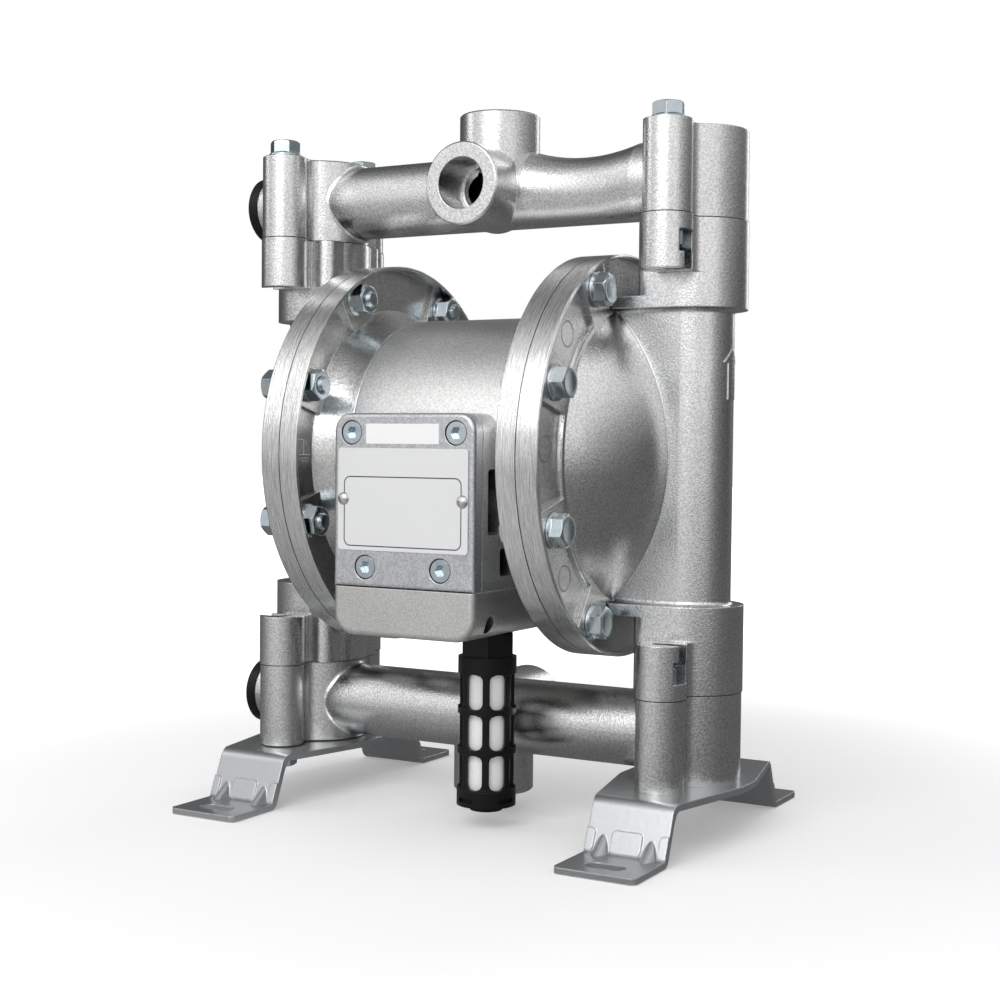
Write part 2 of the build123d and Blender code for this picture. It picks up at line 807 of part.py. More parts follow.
with BuildPart() as exhaust_block:
    with BuildSketch(Plane.XZ.offset(-exhaust_back_y)) as exhaust_outline:
        with Locations((0, valve_bottom_z - exhaust_height / 2)):
            Rectangle(2 * valve_half_width, exhaust_height)
        fillet(exhaust_outline.vertices().group_by(Axis.Y)[0], exhaust_corner)
    extrude(amount=valve_front_y + exhaust_back_y)
    front_edges = exhaust_block.faces().sort_by(Axis.Y)[0].edges()
    fillet(front_edges.filter_by(lambda e: e.center().Z < valve_bottom_z - fitted_gap), exhaust_edge)
    with BuildSketch(across_shaft.offset(-hub_x)):
        Circle(body_r + fitted_gap)
    extrude(amount=2 * hub_x, mode=Mode.SUBTRACT)
    with BuildSketch(Plane.XY.offset(exhaust_bottom_z)):
        with Locations((silencer_x, -silencer_y)):
            Circle(silencer_thread_r + fitted_gap)
    extrude(amount=silencer_thread + loose_gap, mode=Mode.SUBTRACT)
    with BuildSketch(Plane.YZ.offset(valve_half_width)):
        with Locations((-side_hole_y, exhaust_bottom_z + side_hole_z)):
            Circle(side_hole_r)
    extrude(amount=-exhaust_corner, mode=Mode.SUBTRACT)
exhaust_block.part.label = "exhaust_block"

with BuildPart() as valve_sleeve:
    with BuildSketch(Plane.XY.offset(valve_bottom_z)):
        with Locations((0, -spool_y)):
            Circle(sleeve_r)
            Circle(sleeve_bore_r, mode=Mode.SUBTRACT)
    extrude(amount=sleeve_height)
    groove_pitch = sleeve_height / (sleeve_grooves + 1)
    for index in range(sleeve_grooves):
        groove_z = valve_bottom_z + groove_pitch * (index + 1) - sleeve_groove / 2
        with BuildSketch(Plane.XY.offset(groove_z)):
            with Locations((0, -spool_y)):
                Circle(sleeve_r)
                Circle(sleeve_groove_r, mode=Mode.SUBTRACT)
        extrude(amount=sleeve_groove, mode=Mode.SUBTRACT)
valve_sleeve.part.label = "valve_sleeve"

with BuildPart() as valve_spool:
    spool_bottom_z = valve_bottom_z + loose_gap
    with BuildSketch(Plane.XY.offset(spool_bottom_z)):
        with Locations((0, -spool_y)):
            Circle(spool_waist_r)
    extrude(amount=spool_height)
    for start in (0, (spool_height - spool_land) / 2, spool_height - spool_land):
        with BuildSketch(Plane.XY.offset(spool_bottom_z + start)):
            with Locations((0, -spool_y)):
                Circle(spool_r)
        extrude(amount=spool_land)
valve_spool.part.label = "valve_spool"

def silencer_rings():
    """Shallow grooves turned round the cage of the silencer, one to each row of windows."""
    with BuildPart() as rings:
        for row in range(window_rows):
            row_z = silencer_top_z - window_first - row * window_pitch
            with Locations((silencer_x, -silencer_y, row_z)):
                Cylinder(silencer_r + row_groove, row_groove_height)
                Cylinder(silencer_r - row_groove, row_groove_height, mode=Mode.SUBTRACT)
    return rings.part


def silencer_plane(angle, z):
    """Plane through the silencer's axis at a height, facing outward at an angle."""
    facing = radians(angle)
    return Plane(
        origin=(silencer_x, -silencer_y, z),
        x_dir=(-sin(facing), cos(facing), 0),
        z_dir=(cos(facing), sin(facing), 0),
    )


silencer_top_z = exhaust_bottom_z - silencer_neck
silencer_bottom_z = silencer_top_z - silencer_length

with BuildPart() as silencer_body:
    with BuildSketch(Plane.XY.offset(silencer_bottom_z)):
        with Locations((silencer_x, -silencer_y)):
            Circle(silencer_r)
    extrude(amount=silencer_length)
    add(silencer_rings(), mode=Mode.SUBTRACT)
    with BuildSketch(Plane.XY.offset(silencer_bottom_z)):
        with Locations((silencer_x, -silencer_y)):
            Circle(silencer_base_r)
    extrude(amount=silencer_base)
    with BuildSketch(Plane.XY.offset(silencer_top_z)):
        with Locations((silencer_x, -silencer_y)):
            RegularPolygon(silencer_flats / 2, 6, major_radius=False)
    extrude(amount=silencer_neck - loose_gap)
    with BuildSketch(Plane.XY.offset(silencer_top_z)):
        with Locations((silencer_x, -silencer_y)):
            Circle(silencer_thread_r)
    extrude(amount=silencer_neck + silencer_thread)
    with BuildSketch(Plane.XY.offset(silencer_bottom_z)):
        with Locations((silencer_x, -silencer_y)):
            Circle(silencer_cap_r)
    extrude(amount=-silencer_cap)
    with BuildSketch(Plane.XY.offset(silencer_bottom_z + silencer_wall)):
        with Locations((silencer_x, -silencer_y)):
            Circle(silencer_r - silencer_wall)
    extrude(amount=silencer_length - 2 * silencer_wall, mode=Mode.SUBTRACT)
    with BuildSketch(Plane.XY.offset(silencer_top_z - silencer_wall)):
        with Locations((silencer_x, -silencer_y)):
            Circle(silencer_thread_r - silencer_wall)
    extrude(amount=silencer_neck + silencer_thread + silencer_wall, mode=Mode.SUBTRACT)
    for column in range(window_columns):
        angle = window_start + column * 360 / window_columns
        with BuildSketch(silencer_plane(angle, silencer_top_z)):
            for row in range(window_rows):
                with Locations((0, -window_first - row * window_pitch)):
                    RectangleRounded(window_width, window_height, window_corner)
        extrude(amount=2 * silencer_r, mode=Mode.SUBTRACT)
    for quarter in range(4):
        slot_plane = silencer_plane(base_slot_start + 90 * quarter, silencer_bottom_z)
        with BuildSketch(slot_plane.offset(2 * silencer_r)):
            with Locations((0, base_slot_z)):
                Rectangle(base_slot_width, base_slot_height)
        slot_floor = sqrt(silencer_base_r**2 - base_slot_width**2 / 4) - base_slot_depth
        extrude(amount=slot_floor - 2 * silencer_r, mode=Mode.SUBTRACT)
silencer_body.part.label = "silencer_body"

with BuildPart() as silencer_element:
    with BuildSketch(Plane.XY.offset(silencer_bottom_z + silencer_wall + fitted_gap)):
        with Locations((silencer_x, -silencer_y)):
            Circle(silencer_r - silencer_wall - element_gap)
            Circle(silencer_r - silencer_wall - element_gap - element_wall, mode=Mode.SUBTRACT)
    extrude(amount=silencer_length - 2 * (silencer_wall + fitted_gap))
silencer_element.part.label = "silencer_element"


def valve_seat():
    """Seat ring just under a joint face at Z = 0: a 45 degree cone for the ball, a rebate below."""
    outer = chamber_r - fitted_gap
    bottom = -seat_depth + fitted_gap
    with BuildPart() as ring:
        with BuildSketch(Plane.XZ):
            with BuildLine():
                Polyline(
                    (seat_bore_r, bottom),
                    (outer - seat_rebate, bottom),
                    (outer - seat_rebate, bottom + seat_rebate),
                    (outer, bottom + seat_rebate),
                    (outer, -fitted_gap),
                    (seat_bore_r + seat_cone, -fitted_gap),
                    (seat_bore_r, -seat_cone - fitted_gap),
                    (seat_bore_r, bottom),
                )
            make_face()
        revolve(axis=Axis.Z)
    return ring.part


def valve_places(joint_z):
    """Middles of the two valve bores on a joint face."""
    return [(-column_x, 0, joint_z), (column_x, 0, joint_z)]


with BuildPart() as outlet_seats:
    with Locations(*valve_places(top_joint_z)):
        add(valve_seat())
outlet_seats.part.label = "outlet_seats"

with BuildPart() as inlet_seats:
    with Locations(*valve_places(bottom_joint_z)):
        add(valve_seat())
inlet_seats.part.label = "inlet_seats"

with BuildPart() as seat_o_rings:
    ring_z = -seat_depth + fitted_gap + seat_rebate / 2
    for joint_z in (top_joint_z, bottom_joint_z):
        with Locations(*[(x, y, z + ring_z) for x, y, z in valve_places(joint_z)]):
            Torus(chamber_r - fitted_gap - seat_rebate / 2, seat_rebate / 2 - fitted_gap)
seat_o_rings.part.label = "seat_o_rings"


def valve_ball(x, joint_z, name):
    """One check ball, resting over its seat."""
    with BuildPart() as ball:
        with Locations((x, 0, joint_z + seat_to_centre)):
            Sphere(ball_r)
    ball.part.label = name
    return ball


outlet_ball_left = valve_ball(-column_x, top_joint_z, "outlet_ball_left")
outlet_ball_right = valve_ball(column_x, top_joint_z, "outlet_ball_right")
inlet_ball_left = valve_ball(-column_x, bottom_joint_z, "inlet_ball_left")
inlet_ball_right = valve_ball(column_x, bottom_joint_z, "inlet_ball_right")

# The stack on each end of the shaft: inner plate, diaphragm, outer plate, nut
diaphragm_x = split_x + fitted_gap
inner_plate_x = diaphragm_x - fitted_gap - plate_thickness
outer_plate_x = diaphragm_x + diaphragm_thickness + fitted_gap
plate_nut_x = outer_plate_x + plate_thickness + fitted_gap
stud_end_x = plate_nut_x + plate_nut + stud_r / 2

with BuildPart() as diaphragm_shaft:
    with BuildSketch(across_shaft):
        Circle(shaft_r)
    extrude(amount=inner_plate_x - fitted_gap, both=True)
    with BuildSketch(across_shaft):
        Circle(stud_r)
    extrude(amount=stud_end_x, both=True)
diaphragm_shaft.part.label = "diaphragm_shaft"

with BuildPart() as inner_plates:
    for side in (-1, 1):
        with BuildSketch(across_shaft.offset(side * inner_plate_x)):
            Circle(plate_r)
            Circle(stud_r + fitted_gap, mode=Mode.SUBTRACT)
        extrude(amount=side * plate_thickness)
    rims = inner_plates.edges().filter_by(lambda e: abs(abs(e.center().X) - inner_plate_x) < fitted_gap)
    chamfer(rims.filter_by(lambda e: e.length > plate_r), plate_edge)
inner_plates.part.label = "inner_plates"

with BuildPart() as outer_plates:
    for side in (-1, 1):
        with BuildSketch(across_shaft.offset(side * outer_plate_x)):
            Circle(plate_r)
            Circle(stud_r + fitted_gap, mode=Mode.SUBTRACT)
        extrude(amount=side * plate_thickness)
    face_x = outer_plate_x + plate_thickness
    rims = outer_plates.edges().filter_by(lambda e: abs(abs(e.center().X) - face_x) < fitted_gap)
    chamfer(rims.filter_by(lambda e: e.length > plate_r), plate_edge)
outer_plates.part.label = "outer_plates"

with BuildPart() as plate_nuts:
    for side in (-1, 1):
        with BuildSketch(across_shaft.offset(side * plate_nut_x)):
            RegularPolygon(plate_nut_flats / 2, 6, major_radius=False)
            Circle(stud_r + fitted_gap, mode=Mode.SUBTRACT)
        extrude(amount=side * plate_nut)
plate_nuts.part.label = "plate_nuts"

with BuildPart() as shaft_bushes:
    for side in (-1, 1):
        with BuildSketch(across_shaft.offset(side * chamber_floor_x)):
            Circle(bush_r)
            Circle(shaft_r + fitted_gap, mode=Mode.SUBTRACT)
        extrude(amount=-side * bush_length)
shaft_bushes.part.label = "shaft_bushes"


def diaphragm_disc():
    """Moulded rubber diaphragm of the +X side, with one rolled convolution."""
    inner = shaft_z + convolution_r - convolution_width
    crown = shaft_z + convolution_r
    outer = shaft_z + convolution_r + convolution_width
    back_x = diaphragm_x + diaphragm_thickness
    with BuildPart() as disc:
        with BuildSketch(Plane.XZ):
            with BuildLine():
                Line((diaphragm_x, shaft_z + stud_r + fitted_gap), (diaphragm_x, inner))
                ThreePointArc(
                    (diaphragm_x, inner),
                    (diaphragm_x + convolution_height, crown),
                    (diaphragm_x, outer),
                )
                Polyline(
                    (diaphragm_x, outer),
                    (diaphragm_x, shaft_z + diaphragm_r - fitted_gap),
                    (back_x, shaft_z + diaphragm_r - fitted_gap),
                    (back_x, outer),
                )
                ThreePointArc((back_x, outer), (back_x + convolution_height, crown), (back_x, inner))
                Polyline(
                    (back_x, inner),
                    (back_x, shaft_z + stud_r + fitted_gap),
                    (diaphragm_x, shaft_z + stud_r + fitted_gap),
                )
            make_face()
        revolve(axis=shaft_axis)
    return disc.part


right_disc = diaphragm_disc()

with BuildPart() as right_diaphragm:
    add(right_disc)
right_diaphragm.part.label = "right_diaphragm"

with BuildPart() as left_diaphragm:
    add(mirror(right_disc, about=Plane.YZ))
left_diaphragm.part.label = "left_diaphragm"


def core_plug(pipe_z):
    """Plug in the open end of a manifold's bore, with a flange on the stub's face."""
    with BuildPart() as plug:
        with BuildSketch(Plane.YZ.offset(-stub_x - fitted_gap)):
            with Locations((0, pipe_z)):
                Circle(plug_r)
        extrude(amount=-plug_flange)
        chamfer(plug.edges().sort_by(Axis.X)[0], block_edge)
        with BuildSketch(Plane.YZ.offset(-stub_x - fitted_gap)):
            with Locations((0, pipe_z)):
                Circle(pipe_bore_r - fitted_gap)
        extrude(amount=plug_depth)
    return plug.part


with BuildPart() as core_plugs:
    add(core_plug(top_joint_z + axis_height))
    add(core_plug(bottom_joint_z - axis_height))
core_plugs.part.label = "core_plugs"


def hexagon(height, flanged):
    """M8 hexagon on Z = 0, chamfered at its top, with a conical flange at its foot where it has one."""
    with BuildPart() as head:
        with BuildSketch():
            RegularPolygon(m8_flats / 2, 6, major_radius=False)
        extrude(amount=height)
        chamfer_spread = height / tan(radians(m8_chamfer_slope))
        with BuildSketch():
            Circle(m8_flats / 2 + chamfer_spread)
        extrude(amount=height, taper=90 - m8_chamfer_slope, mode=Mode.INTERSECT)
        if flanged:
            cone_height = (m8_flange_r - m8_flats / 2) * tan(radians(m8_flange_slope))
            foot = (Align.CENTER, Align.CENTER, Align.MIN)
            Cylinder(m8_flange_r, m8_flange, align=foot)
            with Locations((0, 0, m8_flange)):
                Cone(m8_flange_r, m8_flats / 2, cone_height, align=foot)
    return head.part


def flange_bolt(length):
    """M8 flange bolt along Z: the head stands on Z = 0 and the shank hangs below it."""
    with BuildPart() as bolt:
        add(hexagon(m8_head, True))
        with BuildSketch():
            Circle(m8_r)
        extrude(amount=-length)
    return bolt.part


def m8_nut_on(height, flanged):
    """M8 nut on Z = 0, bored to clear the bolt it turns on."""
    with BuildPart() as nut:
        add(hexagon(height, flanged))
        with BuildSketch():
            Circle(m8_r + fitted_gap)
        extrude(amount=height, mode=Mode.SUBTRACT)
    return nut.part


def clamp_places(x, side):
    """Places round a flange for pieces that stand off it, away from X = x."""
    tilt = 90 * side
    spots = []
    for index, (y, z) in enumerate(bolt_points()):
        spots.append(Location((x, y, shaft_z + z), (0, tilt, hex_turn * index)))
    return spots


def manifold_places(z, turned, turn=0):
    """Places round the manifold bolts at a height, upside down where turned is set."""
    spots = []
    tilt = 180 if turned else 0
    corners = [(x, y) for x in (column_x, -column_x) for y in (boss_y, -boss_y)]
    for index, (x, y) in enumerate(corners):
        spots.append(Location((x, y, z), (tilt, 0, turn * index)))
    return spots


clamp_bolt = flange_bolt(flange_face_x - clamp_end_x)
clamp_nut = m8_nut_on(m8_flange_nut, True)
captive_nut = m8_nut_on(m8_nut, False)
clamp_pieces = []
for side, name in ((-1, "left"), (1, "right")):
    with BuildPart() as clamp_bolts:
        with Locations(*clamp_places(side * flange_face_x, side)):
            add(clamp_bolt)
    clamp_bolts.part.label = f"{name}_clamp_bolts"
    with BuildPart() as clamp_nuts:
        with Locations(*clamp_places(side * nut_seat_x, -side)):
            add(clamp_nut)
    clamp_nuts.part.label = f"{name}_clamp_nuts"
    clamp_pieces += [clamp_bolts, clamp_nuts]

block_top_z = top_joint_z + block_height
strap_under_z = foot_height - strap_thickness

with BuildPart() as top_manifold_bolts:
    with Locations(*manifold_places(block_top_z, False, hex_turn)):
        add(flange_bolt(block_height + nut_bolt_reach))
top_manifold_bolts.part.label = "top_manifold_bolts"

with BuildPart() as top_manifold_nuts:
    with Locations(*manifold_places(top_joint_z - pocket_top - fitted_gap, True)):
        add(captive_nut)
top_manifold_nuts.part.label = "top_manifold_nuts"

with BuildPart() as bottom_manifold_bolts:
    with Locations(*manifold_places(strap_under_z, True, hex_turn)):
        add(flange_bolt(strap_thickness + block_height + nut_bolt_reach))
bottom_manifold_bolts.part.label = "bottom_manifold_bolts"

with BuildPart() as bottom_manifold_nuts:
    with Locations(*manifold_places(bottom_joint_z + pocket_top + fitted_gap, False)):
        add(captive_nut)
bottom_manifold_nuts.part.label = "bottom_manifold_nuts"


leg_slope = (strap_heel_y - strap_shoulder_y) / (foot_height - strap_thickness)
leg_tilt = sqrt(1 + leg_slope**2)


def strap_section():
    """Section of a strap along Y: a raised middle, a sloping leg and a foot at each end."""
    leg_shift = strap_thickness * leg_tilt
    inner_shoulder_y = strap_shoulder_y + strap_thickness * leg_slope - leg_shift
    inner_heel_y = strap_shoulder_y + foot_height * leg_slope - leg_shift
    with BuildSketch() as section:
        Polygon(
            (0, foot_height),
            (strap_shoulder_y, foot_height),
            (strap_heel_y, strap_thickness),
            (strap_half_length, strap_thickness),
            (strap_half_length, 0),
            (inner_heel_y, 0),
            (inner_shoulder_y, foot_height - strap_thickness),
            (0, foot_height - strap_thickness),
            align=None,
        )
        for point, radius in (
            ((strap_shoulder_y, foot_height, 0), strap_bend + strap_thickness),
            ((strap_heel_y, strap_thickness, 0), strap_bend),
            ((inner_heel_y, 0, 0), strap_bend + strap_thickness),
            ((inner_shoulder_y, foot_height - strap_thickness, 0), strap_bend),
        ):
            fillet(section.vertices().sort_by_distance(point)[0], radius)
        mirror(about=Plane.YZ)
    return section.sketch


def strap_plan():
    """Plan of a strap: wide under the end block, narrower at the legs and feet."""
    with BuildSketch() as plan:
        Polygon(
            (strap_half_width, strap_half_length),
            (strap_half_width, strap_shoulder_y),
            (strap_wide_half_width, strap_wide_half_length),
            (strap_wide_half_width, 0),
            (-strap_wide_half_width, 0),
            (-strap_wide_half_width, strap_wide_half_length),
            (-strap_half_width, strap_shoulder_y),
            (-strap_half_width, strap_half_length),
            align=None,
        )
        mirror(about=Plane.XZ)
        by_y = plan.vertices().group_by(Axis.Y)
        fillet(by_y[0] + by_y[-1], strap_corner)
        wide = plan.vertices().filter_by(lambda v: abs(abs(v.Y) - strap_wide_half_length) < fitted_gap)
        fillet(wide, strap_wide_corner)
    return plan.sketch


def foot_dart(x, end):
    """Dart pressed into the bend between a leg and its foot, at one end of the strap."""
    up_y = strap_heel_y - dart_height * leg_slope - panel_relief
    bend = (end * (strap_heel_y - strap_bend), strap_thickness / 2)
    up = (end * up_y, strap_thickness + dart_height)
    out = (end * (strap_heel_y + dart_reach), strap_thickness)
    with BuildPart() as dart:
        with BuildSketch(Plane.YZ.offset(x)) as ridge:
            Polygon(bend, up, out, align=None)
        ends = [Vertex(x + turn * dart_half_width, *bend) for turn in (-1, 1)]
        loft(sections=[ends[0], ridge.sketch, ends[1]])
    return dart.part


def foot_strap(side):
    """Bent strap under one column, from front foot to back foot."""
    panel_middle_z = (panel_low_z + panel_high_z) / 2
    panel_y = strap_heel_y - (panel_middle_z - strap_thickness) * leg_slope
    with BuildPart() as sheet:
        with BuildSketch(Plane.YZ.offset(side * strap_x)):
            add(strap_section())
        extrude(amount=strap_wide_half_width, both=True)
        for end in (-1, 1):
            add(foot_dart(side * strap_x - dart_x, end))
            add(foot_dart(side * strap_x + dart_x, end))
            panel_plane = Plane(
                origin=(side * strap_x, end * panel_y, panel_middle_z),
                x_dir=(end, 0, 0),
                z_dir=(0, end / leg_tilt, leg_slope / leg_tilt),
            )
            with BuildSketch(panel_plane):
                with Locations((0, 0), (-panel_offset, 0), (panel_offset, 0)):
                    RectangleRounded(panel_width, (panel_high_z - panel_low_z) * leg_tilt, panel_corner)
            extrude(amount=panel_relief, both=True)
        with BuildSketch():
            with Locations((side * strap_x, 0)):
                add(strap_plan())
        extrude(amount=foot_height, mode=Mode.INTERSECT)
        with BuildSketch():
            with Locations((side * strap_x, slot_y), (side * strap_x, -slot_y)):
                SlotOverall(slot_length, slot_width)
        extrude(amount=strap_thickness, mode=Mode.SUBTRACT)
        with BuildSketch(Plane.XY.offset(foot_height)):
            with Locations((side * column_x, boss_y), (side * column_x, -boss_y)):
                Circle(m8_hole_r)
        extrude(amount=-strap_thickness, mode=Mode.SUBTRACT)
    return sheet


right_foot_strap = foot_strap(1)
right_foot_strap.part.label = "right_foot_strap"
left_foot_strap = foot_strap(-1)
left_foot_strap.part.label = "left_foot_strap"

os.makedirs("parts", exist_ok=True)
for piece in (
    top_manifold,
    bottom_manifold,
    left_fluid_cover,
    right_fluid_cover,
    left_air_chamber,
    right_air_chamber,
    center_body,
    valve_gasket,
    valve_cover,
    cover_screws,
    label_plate,
    label_rivets,
    exhaust_block,
    valve_sleeve,
    valve_spool,
    silencer_body,
    silencer_element,
    outlet_seats,
    inlet_seats,
    seat_o_rings,
    outlet_ball_left,
    outlet_ball_right,
    inlet_ball_left,
    inlet_ball_right,
    diaphragm_shaft,
    inner_plates,
    outer_plates,
    plate_nuts,
    shaft_bushes,
    left_diaphragm,
    right_diaphragm,
    core_plugs,
    *clamp_pieces,
    top_manifold_bolts,
    top_manifold_nuts,
    bottom_manifold_bolts,
    bottom_manifold_nuts,
    left_foot_strap,
    right_foot_strap,
):
    export_step(piece.part, f"parts/{piece.part.label}.step")
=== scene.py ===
import bmesh
import bpy
import numpy as np
from math import atan, cos, hypot, pi, radians, sin, tan
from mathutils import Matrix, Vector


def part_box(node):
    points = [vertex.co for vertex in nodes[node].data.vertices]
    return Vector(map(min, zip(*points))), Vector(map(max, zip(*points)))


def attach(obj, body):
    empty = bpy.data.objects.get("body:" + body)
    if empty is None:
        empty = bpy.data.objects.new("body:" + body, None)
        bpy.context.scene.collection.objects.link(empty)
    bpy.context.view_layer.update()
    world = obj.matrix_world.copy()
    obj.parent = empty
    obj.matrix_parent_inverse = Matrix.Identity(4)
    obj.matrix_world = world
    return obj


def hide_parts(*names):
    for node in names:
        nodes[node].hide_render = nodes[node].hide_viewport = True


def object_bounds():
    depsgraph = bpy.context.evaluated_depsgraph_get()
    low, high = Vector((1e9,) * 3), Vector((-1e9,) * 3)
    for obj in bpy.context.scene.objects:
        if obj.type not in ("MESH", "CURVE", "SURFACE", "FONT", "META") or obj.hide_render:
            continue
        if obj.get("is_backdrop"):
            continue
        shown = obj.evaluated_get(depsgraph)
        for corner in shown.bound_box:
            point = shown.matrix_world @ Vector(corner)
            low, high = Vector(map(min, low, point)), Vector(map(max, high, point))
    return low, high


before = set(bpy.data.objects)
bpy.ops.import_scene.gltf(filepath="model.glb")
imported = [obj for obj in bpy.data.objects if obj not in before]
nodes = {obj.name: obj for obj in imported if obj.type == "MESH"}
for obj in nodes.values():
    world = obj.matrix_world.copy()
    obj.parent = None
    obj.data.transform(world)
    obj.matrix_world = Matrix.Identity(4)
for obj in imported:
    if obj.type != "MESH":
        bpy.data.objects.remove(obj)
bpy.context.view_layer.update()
mm = 0.001

# Centre body. An aluminium casting between the two air chambers: a turned barrel, blasted to a
# fine even grain, with the air valve's seat at the front and the air inlet's boss at the back.
# The classes that write a finish and the skin that all the castings share are defined here.


class Field:
    """A number, colour or vector that varies over a surface: one output of a node."""

    def __init__(self, shading, socket):
        self.shading = shading
        self.socket = socket

    def math(self, operation, *values):
        return self.shading.node("Math", {"operation": operation}, dict(enumerate(values)))

    def __add__(self, other):
        return self.math("ADD", self, other)

    __radd__ = __add__

    def __sub__(self, other):
        return self.math("SUBTRACT", self, other)

    def __rsub__(self, other):
        return self.math("SUBTRACT", other, self)

    def __mul__(self, other):
        return self.math("MULTIPLY", self, other)

    __rmul__ = __mul__

    def __abs__(self):
        return self.math("ABSOLUTE", self)

    def most(self, other):
        return self.math("MAXIMUM", self, other)

    def root(self):
        return self.math("SQRT", self)

    def between(self, low, high):
        """0 at low, 1 at high, and a smooth step from one to the other. Low may be the larger."""
        if low > high:
            return 1 - self.between(high, low)
        return self.shading.node(
            "MapRange",
            {"interpolation_type": "SMOOTHSTEP"},
            {"Value": self, "From Min": low, "From Max": high},
        )

    def stretched(self, x, y, z):
        """A vector with each of its parts multiplied by a number."""
        return self.shading.node("VectorMath", {"operation": "MULTIPLY"}, {0: self, 1: (x, y, z)})

    def part(self, axis):
        """One part of a vector, by its letter."""
        return self.shading.node("SeparateXYZ", {}, {0: self}, axis)

    def noise(self, per_metre, detail=2.0, roughness=0.5):
        """Cloudy noise from 0 to 1, with that many blobs in a metre."""
        sockets = {"Vector": self, "Scale": per_metre, "Detail": detail, "Roughness": roughness}
        return self.shading.node("TexNoise", {}, sockets)

    def cells(self, per_metre):
        """Distance to the nearest of a scatter of points, with that many of them in a metre."""
        return self.shading.node("TexVoronoi", {}, {"Vector": self, "Scale": per_metre})


class Shading:
    """A shader's nodes: node() adds any node, and set() fills the sockets of the main one."""

    def __init__(self, tree, main):
        self.tree = tree
        self.main = tree.nodes[main]

    def node(self, kind, settings, inputs, output=0):
        """Adds a node of that kind. Its settings come first, then its sockets' values or links."""
        made = self.tree.nodes.new("ShaderNode" + kind)
        for key, value in settings.items():
            setattr(made, key, value)
        for key, value in inputs.items():
            self.join(value, made.inputs[key])
        return Field(self, made.outputs[output])

    def join(self, value, socket):
        if isinstance(value, Field):
            self.tree.links.new(value.socket, socket)
        elif socket.type == "RGBA":
            socket.default_value = (*value, 1)
        else:
            socket.default_value = value

    def set(self, **values):
        for name, value in values.items():
            self.join(value, self.main.inputs[name.replace("_", " ")])

    def blend(self, factor, first, second):
        """Colour that goes from first to second as the factor goes from 0 to 1."""
        return self.node("Mix", {"data_type": "RGBA"}, {0: factor, 6: first, 7: second}, 2)


class Finish(Shading):
    """A material on Object coordinates, with rounded edges and raised grain where they are asked."""

    def __init__(self, name, **constants):
        self.material = bpy.data.materials.new(name)
        self.material.use_nodes = True
        super().__init__(self.material.node_tree, "Principled BSDF")
        self.place = self.node("TexCoord", {}, {}, "Object")
        self.set(**constants)

    def soften(self, radius):
        """Rounds the shading of the edges, and gives how much each point is turned by that."""
        self.rounded = self.node("Bevel", {"samples": 4}, {"Radius": radius})
        flat = self.node("NewGeometry", {}, {}, "Normal")
        both = {0: self.rounded, 1: flat}
        along = self.node("VectorMath", {"operation": "DOT_PRODUCT"}, both, "Value")
        return (1 - along).between(0.01, 0.16)

    def bump(self, height, depth):
        """Normal of a surface raised by height, which runs from 0 to 1, times a depth in metres."""
        sockets = {"Height": height, "Distance": depth}
        if hasattr(self, "rounded"):
            sockets["Normal"] = self.rounded
        return self.node("Bump", {}, sockets, "Normal")

    def dress(self, slot, *pieces):
        """Puts the finish on pieces, which are CAD nodes by name or new objects."""
        for piece in pieces:
            thing = nodes[piece] if isinstance(piece, str) else piece
            thing.data.materials.clear()
            thing.data.materials.append(self.material)


def cast_skin(name, light, dark, smooth, matt, grain, depth, painted_shade=0, seams=None, turned=None, marks=None):
    """Cast aluminium. Its grain is fine noise, grain blobs to the metre and depth metres high, over
    broad clouds that shift its tone between light and dark and its roughness between smooth and
    matt. Edges are painted lighter: partly burnished wear, partly a painted highlight. Rub streaks
    lighten the metal a little. painted_shade says how dark the painted shade in the corners and
    recesses is, from 0 to 1. seams, turned and marks are functions that make a mask from 0 to 1 on
    the metal: of the open line of a joint, of lathe-turned places, and of shallow rings that a mould
    leaves."""
    metal = Finish(name, Metallic=1.0)
    edges = metal.soften(0.7 * mm)
    clouds = metal.place.noise(34, 4, 0.6)
    sand = metal.place.noise(grain, 2, 0.6)
    flecks = metal.place.noise(grain * 0.6, 2, 0.6)
    rubs = metal.place.stretched(1, 0.15, 0.3).noise(760, 3, 0.6).between(0.58, 0.80)
    pits = metal.place.cells(300).between(0.12, 0.03) * metal.place.noise(80).between(0.55, 0.64)
    speckle = sand.between(0.38, 0.62) * 0.30 + flecks.between(0.36, 0.64) * 0.52
    tone = speckle + clouds.between(0.3, 0.7) * 0.18
    colour = metal.blend(tone, dark, light)
    rough = matt - (matt - smooth) * (clouds * 1.1 + rubs * 0.2) + sand * 0.05
    relief = sand * 0.6 + flecks * 0.8 - pits * 0.5 + clouds * 0.5
    if turned:
        mask = turned(metal)
        lines = metal.place.stretched(1, 0.03, 0.03).noise(3800, 3, 0.7)
        steel = metal.blend(lines.between(0.35, 0.65), (0.50, 0.50, 0.495), (0.88, 0.88, 0.875))
        colour = metal.blend(mask * 0.8, colour, steel)
        rough = rough - mask * 0.06 + mask * lines * 0.10
        relief = relief * (1 - mask * 0.4) + mask * lines * 1.6
    if marks:
        mask = marks(metal)
        relief = relief - mask * 1.6
        colour = metal.blend(mask * 0.55, colour, (0.25, 0.25, 0.25))
    # Painted highlight on the edges, partly burnished wear; the rub streaks are wear and the pits are
    # darker.
    colour = metal.blend(edges * 0.7 + rubs * 0.15 - pits * 0.3, colour, (0.95, 0.95, 0.95))
    # Painted shade: ambient occlusion darkens the colour in corners and recesses, where shade falls.
    if painted_shade:
        openness = metal.node("AmbientOcclusion", {"samples": 4}, {"Distance": 14 * mm}, "AO")
        colour = metal.blend(openness.between(0.62, 0.12) * painted_shade, colour, (0.03, 0.03, 0.03))
    if seams:
        mask = seams(metal)
        colour = metal.blend(mask, colour, (0.02, 0.02, 0.02))
        rough = rough + mask * 0.3
    metal.set(Base_Color=colour, Roughness=rough - edges * 0.08, Normal=metal.bump(relief, depth))
    return metal


